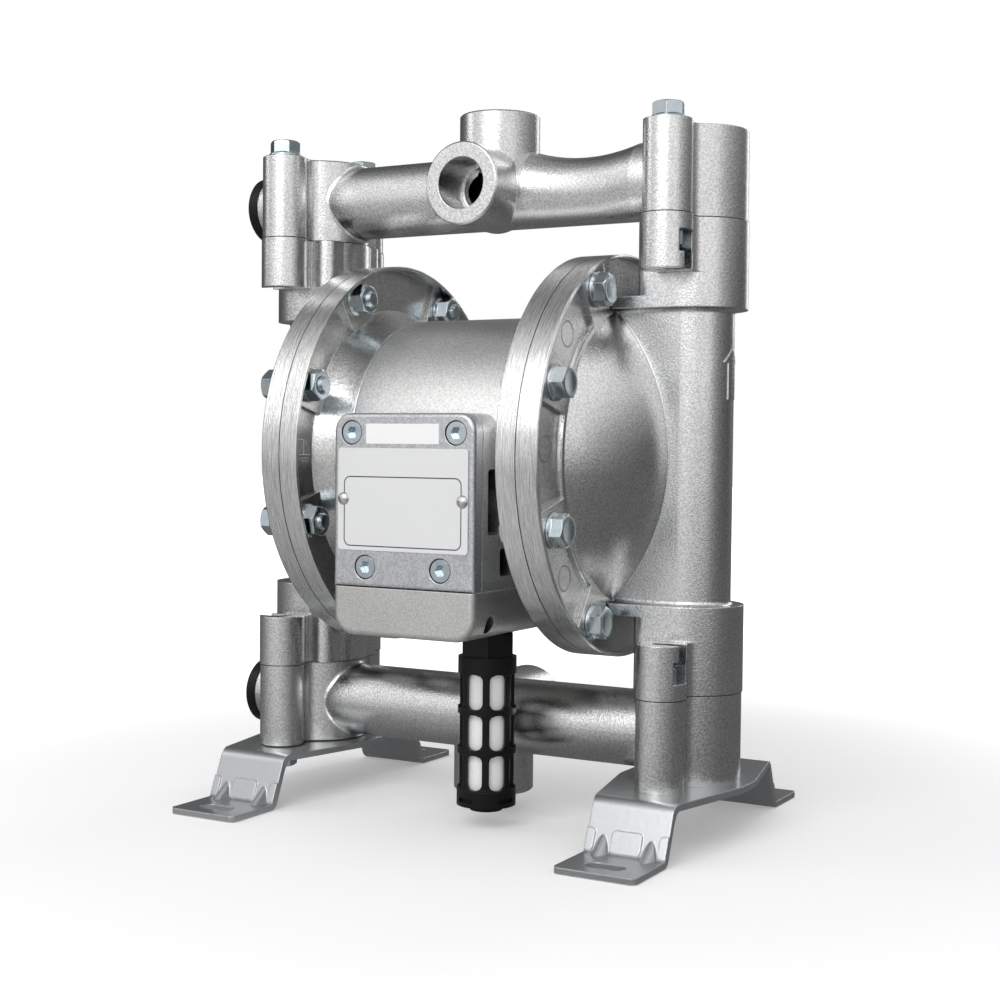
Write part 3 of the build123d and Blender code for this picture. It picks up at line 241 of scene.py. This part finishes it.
def joint_line(metal, axis, place):
    """1 on the thin line where two castings meet, at a distance along an axis on either side."""
    return abs(abs(metal.place.part(axis)) - place).between(0.34 * mm, 0.12 * mm)


def barrel_seams(metal):
    """1 on the lines where the barrel meets the two air chambers."""
    return joint_line(metal, "X", 40.4 * mm)


barrel_skin = cast_skin(
    "blasted barrel",
    light=(0.88, 0.88, 0.875),
    dark=(0.55, 0.55, 0.545),
    smooth=0.32,
    matt=0.44,
    grain=1700,
    depth=0.08 * mm,
    painted_shade=0.9,
    seams=barrel_seams,
)
barrel_skin.dress("cast_aluminium", "center_body")

# Air chambers. Two castings that back the diaphragms. Their webs and necks are polished, so they
# mirror more than the barrel, and their rims are turned. The left one carries the earth lug.
shaft_height, rim_radius, rim_end = 170.75 * mm, 92.45 * mm, 72.0 * mm
flange_joint = 61.0 * mm


def from_shaft(metal):
    """Distance from the shaft's axis: the root of the squares of Y and of height over it."""
    y = metal.place.part("Y")
    z = metal.place.part("Z") - shaft_height
    return (y * y + z * z).root()


def turned_rim(metal):
    """1 on the rim that the lathe has cut, and 0 inside it and on the ends of the columns."""
    rim = from_shaft(metal).between(rim_radius - 0.9 * mm, rim_radius - 0.3 * mm)
    return rim * abs(metal.place.part("X")).between(rim_end + 1.0 * mm, rim_end)


def flange_seams(metal):
    """1 on the line where a cover's flange meets the air chamber's, and 0 inside the rim."""
    return joint_line(metal, "X", flange_joint) * turned_rim(metal)


chamber_skin = cast_skin(
    "polished chamber",
    light=(0.90, 0.90, 0.895),
    dark=(0.60, 0.60, 0.595),
    smooth=0.16,
    matt=0.28,
    grain=1500,
    depth=0.05 * mm,
    painted_shade=0.85,
    seams=flange_seams,
    turned=turned_rim,
)
chamber_skin.dress("cast_aluminium", "left_air_chamber", "right_air_chamber")

# Fluid covers. Two castings, each a bolted flange, a dome and a valve column in one, tumbled
# bright all over. The mould's ejector pins have left shallow rings between the bolt pads.
ring_circle, ring_radius, ring_angles = 81.0 * mm, 5.5 * mm, (40.4, 2.0, -40.4)
pocket_floor, joint_drop = 68.0 * mm, 105.25 * mm


def ejector_rings(metal):
    """1 on thin circles on the flange: where the distance to a pin's place is a pin's radius."""
    y = abs(metal.place.part("Y"))
    z = metal.place.part("Z") - shaft_height
    found = 0
    for angle in ring_angles:
        to_y = y - ring_circle * cos(radians(angle))
        to_z = z - ring_circle * sin(radians(angle))
        ring = abs((to_y * to_y + to_z * to_z).root() - ring_radius)
        found = found + ring.between(0.50 * mm, 0.22 * mm)
    out = abs(metal.place.part("X"))
    beyond = out.between(pocket_floor, pocket_floor + 0.5 * mm)
    return found * beyond * (1 - out.between(rim_end, rim_end + 0.5 * mm))


def column_joints(metal):
    """1 on the lines of the joints to both manifolds, at one distance over and under the shaft."""
    height = metal.place.part("Z")
    return abs(abs(height - shaft_height) - joint_drop).between(0.36 * mm, 0.12 * mm)


def cover_seams(metal):
    """1 on the flange's joint line and on the lines of the joints to both manifolds."""
    return column_joints(metal).most(flange_seams(metal))


cover_skin = cast_skin(
    "tumbled cover",
    light=(0.90, 0.90, 0.90),
    dark=(0.54, 0.54, 0.545),
    smooth=0.13,
    matt=0.24,
    grain=1900,
    depth=0.09 * mm,
    painted_shade=0.8,
    seams=cover_seams,
    turned=turned_rim,
    marks=ejector_rings,
)
cover_skin.dress("cast_aluminium", "left_fluid_cover", "right_fluid_cover")

# Manifolds. Cast pipes with a block at each end. The rough skin of the mould shows on them, and
# the joints to the covers are plain machined faces.
column_foot, column_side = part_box("bottom_manifold")[0][2], 70 * mm


def manifold_seams_and_foot_shadow(metal):
    """1 on the lines of the joints to the covers and the straps, and 0 on the pipes between. At the
    columns' foot the line is a dark joint and a painted contact shadow where they stand on the straps.
    """
    # Painted contact shadow, together with the joint line, where the columns stand on the straps.
    foot = metal.place.part("Z").between(column_foot + 0.7 * mm, column_foot + 0.2 * mm)
    beyond = abs(metal.place.part("X")).between(column_side, column_side + 2 * mm)
    return column_joints(metal).most(foot) * beyond


manifold_skin = cast_skin(
    "manifold casting",
    light=(0.88, 0.88, 0.875),
    dark=(0.52, 0.52, 0.52),
    smooth=0.15,
    matt=0.26,
    grain=1800,
    depth=0.10 * mm,
    seams=manifold_seams_and_foot_shadow,
)
manifold_skin.dress("cast_aluminium", "top_manifold", "bottom_manifold")

# Core plugs. Moulded black plastic plugs, pressed into the openings that the cores have left in
# the pipes' left ends.
plug_plastic = Finish("black moulded plastic", Specular_IOR_Level=0.24)
plug_edge_highlight = plug_plastic.soften(0.4 * mm)
mould_grain = plug_plastic.place.noise(2600, 3, 0.6)
plug_cloud = plug_plastic.place.noise(120, 3)
plug_tone = plug_plastic.blend(plug_cloud, (0.003, 0.003, 0.004), (0.008, 0.008, 0.009))
# Painted highlight: the plastic's edges are painted lighter.
plug_plastic.set(
    Base_Color=plug_plastic.blend(plug_edge_highlight * 0.2, plug_tone, (0.05, 0.05, 0.055)),
    Roughness=0.26 + mould_grain * 0.16,
    Normal=plug_plastic.bump(mould_grain, 0.03 * mm),
)
plug_plastic.dress("black_plastic", "core_plugs")

# Air valve. A cast cover on a paper gasket, held on the centre body's flat face by four socket
# screws, over the exhaust block that carries the silencer.
valve_skin = cast_skin(
    "valve cover casting",
    light=(0.72, 0.73, 0.75),
    dark=(0.44, 0.45, 0.47),
    smooth=0.32,
    matt=0.44,
    grain=1500,
    depth=0.05 * mm,
    painted_shade=0.8,
)
valve_skin.dress("cast_aluminium", "valve_cover")
block_skin = cast_skin(
    "exhaust block casting",
    light=(0.74, 0.735, 0.72),
    dark=(0.48, 0.475, 0.465),
    smooth=0.38,
    matt=0.48,
    grain=2400,
    depth=0.07 * mm,
    painted_shade=0.8,
)
block_skin.dress("cast_aluminium", "exhaust_block")
gasket_paper = Finish("gasket paper")
pulp = gasket_paper.place.noise(900, 4)
gasket_paper.set(
    Base_Color=gasket_paper.blend(pulp, (0.03, 0.03, 0.032), (0.07, 0.07, 0.07)),
    Roughness=0.8 + gasket_paper.place.noise(500) * 0.1,
)
gasket_paper.dress("black_rubber", "valve_gasket")

# Valve inside. The ground steel sleeve and the turned spool in it lie hidden in the barrel. The
# shaft, the rivets and the diaphragms' plates have the same two finishes.
ground_steel = Finish("ground steel", Metallic=1.0)
lathe_lines = ground_steel.place.stretched(0.05, 0.05, 1).noise(5200, 2)
ground_steel.set(
    Base_Color=ground_steel.blend(lathe_lines, (0.52, 0.52, 0.515), (0.68, 0.68, 0.67)),
    Roughness=0.20 + lathe_lines * 0.12,
    Normal=ground_steel.bump(lathe_lines, 0.02 * mm),
)
ground_steel.dress("stainless_steel", "valve_sleeve", "diaphragm_shaft", "label_rivets")
turned_aluminium = Finish("turned aluminium", Metallic=1.0)
tool_marks = turned_aluminium.place.stretched(1, 0.05, 0.05).noise(4200, 2)
turned_aluminium.set(
    Base_Color=turned_aluminium.blend(tool_marks, (0.62, 0.62, 0.62), (0.80, 0.80, 0.79)),
    Roughness=0.26 + tool_marks * 0.14,
    Normal=turned_aluminium.bump(tool_marks, 0.02 * mm),
)
turned_aluminium.dress("machined_aluminium", "valve_spool", "inner_plates", "outer_plates")

# Diaphragms, balls, seats and bushes. Black rubber discs and O-rings, white plastic check balls
# on white seat rings, and the shaft's bronze bushes, all inside the castings.
rubber = Finish("diaphragm rubber", Specular_IOR_Level=0.35)
rubber_grain = rubber.place.noise(1800, 4, 0.6)
rubber.set(
    Base_Color=rubber.blend(rubber_grain, (0.012, 0.012, 0.012), (0.040, 0.040, 0.042)),
    Roughness=0.55 + rubber_grain * 0.2,
    Normal=rubber.bump(rubber_grain, 0.05 * mm),
)
rubber.dress("black_rubber", "left_diaphragm", "right_diaphragm", "seat_o_rings")
white_plastic = Finish("white plastic")
white_cloud = white_plastic.place.noise(300, 3)
white_plastic.set(
    Base_Color=white_plastic.blend(white_cloud, (0.80, 0.80, 0.77), (0.90, 0.90, 0.88)),
    Roughness=0.34 + white_cloud * 0.12,
)
white_plastic.dress("white_plastic", "outlet_seats", "outlet_ball_left", "outlet_ball_right")
white_plastic.dress("white_plastic", "inlet_seats", "inlet_ball_left", "inlet_ball_right")
bush_bronze = Finish("bush bronze", Metallic=1.0)
bronze_cloud = bush_bronze.place.noise(600, 3)
bush_bronze.set(
    Base_Color=bush_bronze.blend(bronze_cloud, (0.50, 0.32, 0.14), (0.66, 0.46, 0.22)),
    Roughness=0.3 + bronze_cloud * 0.15,
)
bush_bronze.dress("bronze", "shaft_bushes")

# Nameplate. A thin sheet with a satin white face under two dome rivets. It has a printed frame
# and is bare otherwise. A faint brushing runs across the plate.
frame_half, frame_low, frame_high, frame_corner = 30.4 * mm, 129.9 * mm, 160.7 * mm, 3.0 * mm
label_face = Finish("nameplate", Specular_IOR_Level=0.5)
label_edge_highlight = label_face.soften(0.25 * mm)
brushing = label_face.place.stretched(0.02, 1, 1).noise(7000, 2, 0.6)
speckle = label_face.place.noise(1900, 2)
beyond_x = (abs(label_face.place.part("X")) - (frame_half - frame_corner)).most(0)
off_middle = abs(label_face.place.part("Z") - (frame_low + frame_high) / 2)
beyond_z = (off_middle - ((frame_high - frame_low) / 2 - frame_corner)).most(0)
to_corner = (beyond_x * beyond_x + beyond_z * beyond_z).root()
printed = abs(to_corner - frame_corner).between(0.34 * mm, 0.20 * mm)
satin = brushing * 0.5 + speckle * 0.5
plate_tone = label_face.blend(satin, (0.72, 0.725, 0.73), (0.80, 0.805, 0.81))
# Painted highlight: the plate's edges are painted lighter.
plate_tone = label_face.blend(label_edge_highlight * 0.6, plate_tone, (0.85, 0.85, 0.85))
label_face.set(
    Base_Color=label_face.blend(printed, plate_tone, (0.055, 0.055, 0.06)),
    Metallic=0.15 - printed * 0.15,
    Roughness=0.42 + brushing * 0.10,
    Normal=label_face.bump(satin, 0.012 * mm),
)
label_face.dress("bare_nameplate", "label_plate")

# Sticker. A blank white paper sticker, stuck on the valve cover over the nameplate, between the
# two upper screws.
sticker_low_x, sticker_high_x, sticker_low_z, sticker_high_z = -19.3 * mm, 18.7 * mm, 175.4 * mm, 184.3 * mm
sticker_thickness, sticker_lift, sticker_corner, sticker_edge = 0.15 * mm, 0.01 * mm, 0.4 * mm, 0.05 * mm


def mesh_of(name, grids, keep_sharp=32):
    """A mesh from grids of points, rows by columns by three. A grid's columns close into a loop, and
    so do its rows where its last row repeats its first. Each quad joins four neighbours."""
    points, quads, start = [], [], 0
    for grid in grids:
        rows, columns = grid.shape[:2]
        index = start + np.arange(rows * columns).reshape(rows, columns)
        beside = np.roll(index, -1, axis=1)
        quads.append(np.stack([index[:-1], beside[:-1], beside[1:], index[1:]], axis=-1).reshape(-1, 4))
        points.append(grid.reshape(-1, 3))
        start += rows * columns
    mesh = bpy.data.meshes.new(name)
    mesh.from_pydata(np.concatenate(points).tolist(), [], np.concatenate(quads).tolist())
    shape = bmesh.new()
    shape.from_mesh(mesh)
    bmesh.ops.remove_doubles(shape, verts=shape.verts, dist=1e-6)
    bmesh.ops.recalc_face_normals(shape, faces=shape.faces)
    shape.to_mesh(mesh)
    shape.free()
    mesh.shade_smooth()
    mesh.set_sharp_from_angle(angle=radians(keep_sharp))
    piece = bpy.data.objects.new(name, mesh)
    bpy.context.scene.collection.objects.link(piece)
    return piece


def sheet_between(low, high, corner, edge):
    """A thin sheet on a plane of constant Y, its four corners rounded by quarter circles and its
    front edge by a chamfer: each loop goes round the outline, drawn in by the edge, and the first
    and last loop close on the middle."""
    turn = np.linspace(0, 2 * pi, 48, endpoint=False)
    half = np.array([(high[0] - low[0]) / 2 - corner, (high[2] - low[2]) / 2 - corner])
    middle = np.array([(high[0] + low[0]) / 2, (high[2] + low[2]) / 2])
    loops = []
    back, side, front = high[1], low[1] + edge, low[1]
    for y, inset, reach in ((back, 0, 0), (back, 0, 1), (side, 0, 1), (front, edge, 1), (front, 0, 0)):
        x = middle[0] + reach * (np.sign(np.cos(turn)) * half[0] + (corner - inset) * np.cos(turn))
        z = middle[1] + reach * (np.sign(np.sin(turn)) * half[1] + (corner - inset) * np.sin(turn))
        loops.append(np.stack([x, np.full_like(x, y), z], axis=-1))
    return np.stack(loops)


sticker_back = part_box("valve_cover")[0][1] - sticker_lift
sticker_low = (sticker_low_x, sticker_back - sticker_thickness, sticker_low_z)
sticker_high = (sticker_high_x, sticker_back, sticker_high_z)
sticker = mesh_of("blank_sticker", [sheet_between(sticker_low, sticker_high, sticker_corner, sticker_edge)])
sticker_paper = Finish("sticker paper", Specular_IOR_Level=0.5, Coat_Weight=0.3, Coat_Roughness=0.2)
fibres = sticker_paper.place.noise(1400, 4, 0.6)
sticker_paper.set(
    Base_Color=sticker_paper.blend(fibres, (0.88, 0.88, 0.88), (0.93, 0.93, 0.93)),
    Roughness=0.4 + fibres * 0.1,
    Normal=sticker_paper.bump(fibres, 0.01 * mm),
)
sticker_paper.dress("bare_nameplate", sticker)
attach(sticker, "pump")

# Earth sign. The upright and three bars of the earth sign, cast proud of the lug on the left air
# chamber beside the hole for the earth screw.
lug_face, proud, lean, sunk, half_bar = -56.3 * mm, 0.45 * mm, 0.15 * mm, 0.1 * mm, 0.4 * mm
upright_y, upright_low, upright_high = -80.5 * mm, 170.0 * mm, 176.3 * mm
bar_spans = [(169.9, -84.3, -75.9), (168.4, -82.8, -77.4), (167.15, -82.0, -77.4)]


def bar_on_lug(y_low, y_high, z_low, z_high):
    """A raised bar on the lug's face: a rectangle whose loops step inwards as they rise, so that
    its sides lean, and then close on its middle."""
    middle_y, middle_z = (y_low + y_high) / 2, (z_low + z_high) / 2
    loops = []
    for out, inset, open_loop in (
        (-sunk, 0, 0),
        (-sunk, 0, 1),
        (proud - 0.1 * mm, lean * 0.6, 1),
        (proud, lean, 1),
        (proud, 0, 0),
    ):
        to_y = open_loop * ((y_high - y_low) / 2 - inset)
        to_z = open_loop * ((z_high - z_low) / 2 - inset)
        y = middle_y + to_y * np.array([-1, 1, 1, -1])
        z = middle_z + to_z * np.array([-1, -1, 1, 1])
        loops.append(np.stack([np.full(4, lug_face + out), y, z], axis=-1))
    return np.stack(loops)


bars = [bar_on_lug(upright_y - half_bar, upright_y + half_bar, upright_low, upright_high)]
for height, start, end in bar_spans:
    bars.append(bar_on_lug(start * mm, end * mm, height * mm - half_bar, height * mm + half_bar))
earth_sign = mesh_of("earth_sign", bars)
chamber_skin.dress("cast_aluminium", earth_sign)
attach(earth_sign, "pump")

# Silencer. A slotted black plastic cage screwed into the exhaust block, with a white porous
# sleeve inside it.
plug_plastic.dress("black_plastic", "silencer_body")
porous = Finish("porous sleeve")
beads = porous.place.cells(1500)
porous.set(
    Base_Color=porous.blend(beads, (0.96, 0.96, 0.955), (0.90, 0.90, 0.895)),
    Roughness=0.75 + beads * 0.1,
    Normal=porous.bump(beads, 0.10 * mm),
)
porous.dress("porous_plastic", "silencer_element")

# Flange bolts and nuts. M8, zinc plated with a faint blue cast: a hexagon with a chamfered top on
# a conical flange, and a rolled thread that shows beyond each nut.
across_flats, flange_rim, flange_lip, head_height = 13.0 * mm, 7.9 * mm, 1.2 * mm, 7.5 * mm
nut_height, shank_r, thread_pitch, thread_depth = 8.0 * mm, 4.0 * mm, 1.25 * mm, 0.68 * mm
crown_r, flange_slope, chamfer_slope = across_flats / 2 - 0.3 * mm, tan(radians(25)), tan(radians(30))
dish_r, dish_depth, bore_r, countersink_r = 4.4 * mm, 0.3 * mm, shank_r + 0.02 * mm, shank_r + 0.35 * mm
around = np.linspace(0, 2 * pi, 72, endpoint=False)
hexagon = across_flats / 2 / np.cos((around + pi / 6) % (pi / 3) - pi / 6)


def hexagon_rows(height):
    """Radius and height of the rows of a flanged hexagon: the flange's rim with its edges rounded,
    the cone up to the hexagon, the flats, and the chamfer that starts at the crown's circle."""
    full = np.ones_like(around)
    chamfer = height - (hexagon - crown_r) * chamfer_slope
    return [
        ((flange_rim - 0.25 * mm) * full, 0 * full),
        (flange_rim * full, 0.25 * mm * full),
        (flange_rim * full, (flange_lip - 0.3 * mm) * full),
        ((flange_rim - 0.3 * mm) * full, flange_lip * full),
        (hexagon + 0.25 * mm, flange_lip + (flange_rim - hexagon - 0.25 * mm) * flange_slope),
        (hexagon, flange_lip + (flange_rim - hexagon) * flange_slope + 0.25 * mm),
        (hexagon, chamfer - 0.10 * mm),
        (hexagon - 0.15 * mm, chamfer + 0.02 * mm),
        (crown_r * full, (height - 0.05 * mm) * full),
        ((crown_r - 0.2 * mm) * full, height * full),
    ]


def lathed(rows):
    """Points of rows of radius and height, each carried round the Z axis."""
    grid = [np.stack([r * np.cos(around), r * np.sin(around), z], axis=-1) for r, z in rows]
    return np.stack(grid)


def bolt_grid(length, threaded):
    """A flange bolt with its seat on Z = 0: a shallow dish in its head, then the flanged hexagon,
    the shank, and a thread whose radius falls as a triangle wave of height less turns."""
    full = np.ones_like(around)
    dish = [
        (0 * full, (head_height - dish_depth - 0.05 * mm) * full),
        (dish_r * full, (head_height - dish_depth) * full),
    ]
    rows = dish + hexagon_rows(head_height)[::-1] + [(shank_r * full, 0 * full)]
    for z in np.arange(-(length - threaded), -(length - 0.6 * mm), -thread_pitch / 8):
        wave = np.abs(((z / thread_pitch - around / (2 * pi)) % 1) * 2 - 1)
        rows.append((shank_r - thread_depth * wave, z * full))
    rows.append(((shank_r - thread_depth - 0.3 * mm) * full, -length * full))
    rows.append((0 * full, -length * full))
    return lathed(rows)


def nut_grid():
    """A flange nut on Z = 0: the flanged hexagon, a countersink, and a bore down to its seat."""
    full = np.ones_like(around)
    foot = [(bore_r * full, 0 * full)]
    top = [(countersink_r * full, nut_height * full), (bore_r * full, (nut_height - 0.4 * mm) * full)]
    return lathed(foot + hexagon_rows(nut_height) + top + foot)


def standing(grid, spot, out, turn):
    """The grid, turned about its own Z axis, then set on a spot with that axis along out."""
    out = np.array(out, float)
    side = np.cross(out, (0.0, 1.0, 0.0)) if abs(out[1]) < 0.9 else np.array([1.0, 0.0, 0.0])
    side /= np.linalg.norm(side)
    across = np.cross(out, side)
    first = cos(turn) * side + sin(turn) * across
    second = np.cross(out, first)
    return np.array(spot) + grid @ np.stack([first, second, out])


bolt_circle, low_angle, high_angle = 82.8 * mm, 22.1, 62.3
bolt_angles = [low_angle, high_angle, 180 - high_angle, 180 - low_angle]
bolt_angles += [180 + angle for angle in bolt_angles]
head_seat, nut_seat, stud_end, stud_thread = 71.3 * mm, 56.3 * mm, 46.3 * mm, 14 * mm
turn_step, left_turn, right_turn, nut_turn = 17, 31, 9, 1.7
zinc = Finish("zinc plating", Metallic=1.0)
zinc_edge_highlight = zinc.soften(0.35 * mm)
plating = zinc.place.noise(260, 4, 0.6)
drag = zinc.place.noise(2400, 3, 0.6)
blue_tint = zinc.place.noise(95, 2).between(0.35, 0.65)
zinc_tone = zinc.blend(blue_tint, (0.42, 0.46, 0.47), (0.32, 0.41, 0.48))
zinc_tone = zinc.blend(plating * 0.7 + drag * 0.3, zinc_tone, (0.70, 0.77, 0.80))
# Painted highlight: the edges of the heads, nuts and screws are painted lighter.
zinc.set(
    Base_Color=zinc.blend(zinc_edge_highlight * 0.6, zinc_tone, (0.90, 0.94, 0.95)),
    Roughness=0.08 + plating * 0.12 + drag * 0.05,
    Normal=zinc.bump(drag, 0.02 * mm),
)
for side, name, first_turn in ((-1, "left", left_turn), (1, "right", right_turn)):
    bolts, nuts = [], []
    for index, angle in enumerate(bolt_angles):
        y, z = bolt_circle * cos(radians(angle)), shaft_height + bolt_circle * sin(radians(angle))
        turn = radians(turn_step * index + first_turn)
        stud = bolt_grid(head_seat - stud_end, stud_thread)
        bolts.append(standing(stud, (side * head_seat, y, z), (side, 0, 0), turn))
        nuts.append(standing(nut_grid(), (side * nut_seat, y, z), (-side, 0, 0), turn * nut_turn))
    for grids, node in ((bolts, f"{name}_clamp_bolts"), (nuts, f"{name}_clamp_nuts")):
        made = mesh_of(f"{node}_plated", grids)
        zinc.dress("zinc_steel", made)
        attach(made, "pump")
        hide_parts(node)

# Manifold bolts. The same flange bolts, longer: from above through the top manifold, and from
# under the foot straps through the bottom one, each into a captive nut in the cover.
column_x, column_bolt_y, long_thread = 102.5 * mm, 33.9 * mm, 20 * mm
column_places = [(x, y) for x in (column_x, -column_x) for y in (column_bolt_y, -column_bolt_y)]
for node, out in (("top_manifold_bolts", 1), ("bottom_manifold_bolts", -1)):
    low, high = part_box(node)
    seat = high[2] - head_height if out > 0 else low[2] + head_height
    reach = seat - low[2] if out > 0 else high[2] - seat
    grids = []
    for index, (x, y) in enumerate(column_places):
        stud = bolt_grid(reach, long_thread)
        grids.append(standing(stud, (x, y, seat), (0, 0, out), radians(turn_step * index)))
    made = mesh_of(f"{node}_plated", grids)
    zinc.dress("zinc_steel", made)
    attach(made, "pump")
    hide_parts(node)
zinc.dress("zinc_steel", "top_manifold_nuts", "bottom_manifold_nuts", "cover_screws", "plate_nuts")

# Foot straps. Pressed steel straps, 3 mm thick, in a smooth silver-grey metallic coat, with a
# slotted foot at either end.
strap_paint = Finish("silver-grey paint", Coat_Weight=0.15, Coat_Roughness=0.2)
strap_edge_highlight = strap_paint.soften(0.9 * mm)
flakes = strap_paint.place.cells(3800)
peel = strap_paint.place.noise(420, 2)
strap_cloud = flakes * 0.6 + peel * 0.4
strap_tone = strap_paint.blend(strap_cloud, (0.46, 0.472, 0.486), (0.60, 0.615, 0.632))
# Painted highlight: the straps' edges are painted lighter.
strap_paint.set(
    Base_Color=strap_paint.blend(strap_edge_highlight * 0.35, strap_tone, (0.72, 0.73, 0.74)),
    Metallic=0.80 + flakes * 0.15,
    Roughness=0.27 + flakes * 0.08,
    Normal=strap_paint.bump(peel, 0.05 * mm),
)
strap_paint.dress("painted_steel", "left_foot_strap", "right_foot_strap")

# Studio. A pale floor under an open white sky, three soft lamps, and a grey tent that only
# reflections see, so that bare metal has dark and light cloth to mirror. The tent's foot lies on
# the floor, and towards the key lamp it is open to the white sky.


def staged(name, points, faces, shade):
    """A piece of the studio from points and faces."""
    mesh = bpy.data.meshes.new(name)
    mesh.from_pydata(points, [], faces)
    mesh.materials.append(shade.material)
    thing = bpy.data.objects.new(name, mesh)
    bpy.context.scene.collection.objects.link(thing)
    thing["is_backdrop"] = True
    return thing


camera_bearing, tent_radius, tent_middle, tent_foot = -60.5, 2.0, 0.17, 0.4 * mm
turn, rise = np.meshgrid(np.linspace(-180, 180, 73), np.linspace(-86, 90, 67))
back_wall = [(-180, 0.10), (-150, 0.07), (-118, 0.10), (-98, 0.26), (-80, 0.52), (-60, 0.84)]
front_wall = [(-35, 0.94), (0, 0.86), (22, 0.98), (38, 0.78), (50, 0.34), (64, 0.17)]
right_wall = [(80, 0.07), (100, 0.04), (118, 0.08), (134, 0.20), (160, 0.12), (180, 0.10)]
wall_turns, wall_levels = zip(*back_wall, *front_wall, *right_wall)


def lobe(bearing, height, width, depth):
    """A soft patch of light, 1 at its middle: a bell curve of bearing times one of height."""
    return np.exp(-(((turn - bearing) / width) ** 2) - ((rise - height) / depth) ** 2)


def tent_cloth_level():
    """How bright the cloth is in each direction, by degrees of turn to the right of the camera and
    of rise: the wall round about, lit patches over it, the ground below it and the roof on top."""
    wall = np.interp(turn, wall_turns, wall_levels) + 0.80 * lobe(-10, 34, 54, 24)
    wall = wall + 0.78 * lobe(76, 38, 44, 21) + 0.34 * lobe(-92, 42, 40, 22) + 0.16 * lobe(180, 46, 60, 22)
    ground = 0.13 + 0.48 * lobe(-42, -18, 50, 60)
    above = 0.5 + 0.5 * np.tanh((rise + 2) / 4)
    roof = 0.5 + 0.5 * np.tanh((rise - 66) / 9)
    return (ground * (1 - above) + wall * above) * (1 - roof) + 0.38 * roof


def tent_points():
    """Points of a sphere by turn and rise, drawn in to the floor's height where it would sink."""
    to_floor = (tent_middle - tent_foot) / np.sin(np.radians(np.maximum(-rise, 1)))
    radius = np.where(rise < -1, np.minimum(tent_radius, to_floor), tent_radius)
    flat = radius * np.cos(np.radians(rise))
    bearing = np.radians(turn + camera_bearing)
    up = tent_middle + radius * np.sin(np.radians(rise))
    return np.stack([flat * np.cos(bearing), flat * np.sin(bearing), up], axis=-1)


cloth = tent_cloth_level()
number = np.arange(turn.size).reshape(turn.shape)
panels = np.stack([number[:-1, :-1], number[:-1, 1:], number[1:, 1:], number[1:, :-1]], axis=-1)
hung = cloth[:-1, :-1] < 1.0
tent_cloth = Finish("tent cloth", Base_Color=(0, 0, 0), Specular_IOR_Level=0.0, Emission_Strength=1.0)
tent_cloth.set(Emission_Color=tent_cloth.node("Attribute", {"attribute_name": "level"}, {}, "Color"))
tent = staged("tent", tent_points().reshape(-1, 3).tolist(), panels[hung].tolist(), tent_cloth)
level = tent.data.attributes.new("level", "FLOAT_COLOR", "POINT")
level.data.foreach_set("color", np.repeat(np.minimum(cloth, 1.0).reshape(-1, 1), 4, axis=1).ravel())
tent.visible_camera = False
tent.visible_diffuse = False
tent.visible_shadow = False


def seen_directly(shading):
    """1 where the camera, a mirroring surface or a clear one looks, and 0 for the light it sheds."""
    mirrored = shading.node("LightPath", {}, {}, "Is Glossy Ray")
    through = shading.node("LightPath", {}, {}, "Is Transmission Ray")
    return shading.node("LightPath", {}, {}, "Is Camera Ray").most(mirrored).most(through)


floor_reach, near_floor, far_floor = 6.0, 0.2, 0.8
floor_paint = Finish("pale floor", Base_Color=(0.86, 0.86, 0.86), Roughness=0.9, Specular_IOR_Level=0.1)
out_x, out_y = floor_paint.place.part("X"), floor_paint.place.part("Y")
away = (out_x * out_x + out_y * out_y).root().between(near_floor, far_floor)
floor_paint.set(
    Emission_Color=floor_paint.blend(away, (0.24, 0.24, 0.24), (1, 1, 1)),
    Emission_Strength=seen_directly(floor_paint),
)
corners = [(x * floor_reach, y * floor_reach, 0) for x, y in ((-1, -1), (1, -1), (1, 1), (-1, 1))]
staged("floor", corners, [(0, 1, 2, 3)], floor_paint)

sky = bpy.data.worlds.new("studio")
bpy.context.scene.world = sky
sky.use_nodes = True
backdrop = Shading(sky.node_tree, "Background")
sky_light = 0.6
backdrop.set(Color=(1, 1, 1), Strength=sky_light + seen_directly(backdrop) * (1 - sky_light))


def lamp(name, place, aim, size, power):
    """A soft rectangular lamp at a place, turned towards aim."""
    light = bpy.data.lights.new(name, "AREA")
    light.shape = "RECTANGLE"
    light.size, light.size_y = size
    light.energy = power
    holder = bpy.data.objects.new(name, light)
    bpy.context.scene.collection.objects.link(holder)
    way = np.array(place) - np.array(aim)
    flat = hypot(way[0], way[1])
    holder.location = place
    holder.rotation_euler = (pi / 2 - atan(way[2] / flat), 0, np.arctan2(way[0], -way[1]))
    return holder


pump_middle = (0, 0, 0.17)
lamp("key_lamp", (0.1, -1.5, 1.15), pump_middle, (1.2, 1.1), 12)
lamp("left_lamp", (-1.6, -0.7, 1.0), pump_middle, (0.5, 1.2), 3)
lamp("back_lamp", (0.2, 1.7, 0.9), pump_middle, (0.4, 1.2), 3)

eye = bpy.data.cameras.new("eye")
eye.lens, eye.sensor_width = 57.94, 36.0
eye.clip_start, eye.clip_end = 0.05, 50.0
camera = bpy.data.objects.new("camera", eye)
bpy.context.scene.collection.objects.link(camera)
camera.location = (0.38404, -0.67792, 0.17548)
camera.rotation_euler = (radians(88.0362), radians(-0.5879), radians(29.4216))
bpy.context.scene.camera = camera
bpy.context.scene.view_settings.view_transform = "Standard"

low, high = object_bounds()
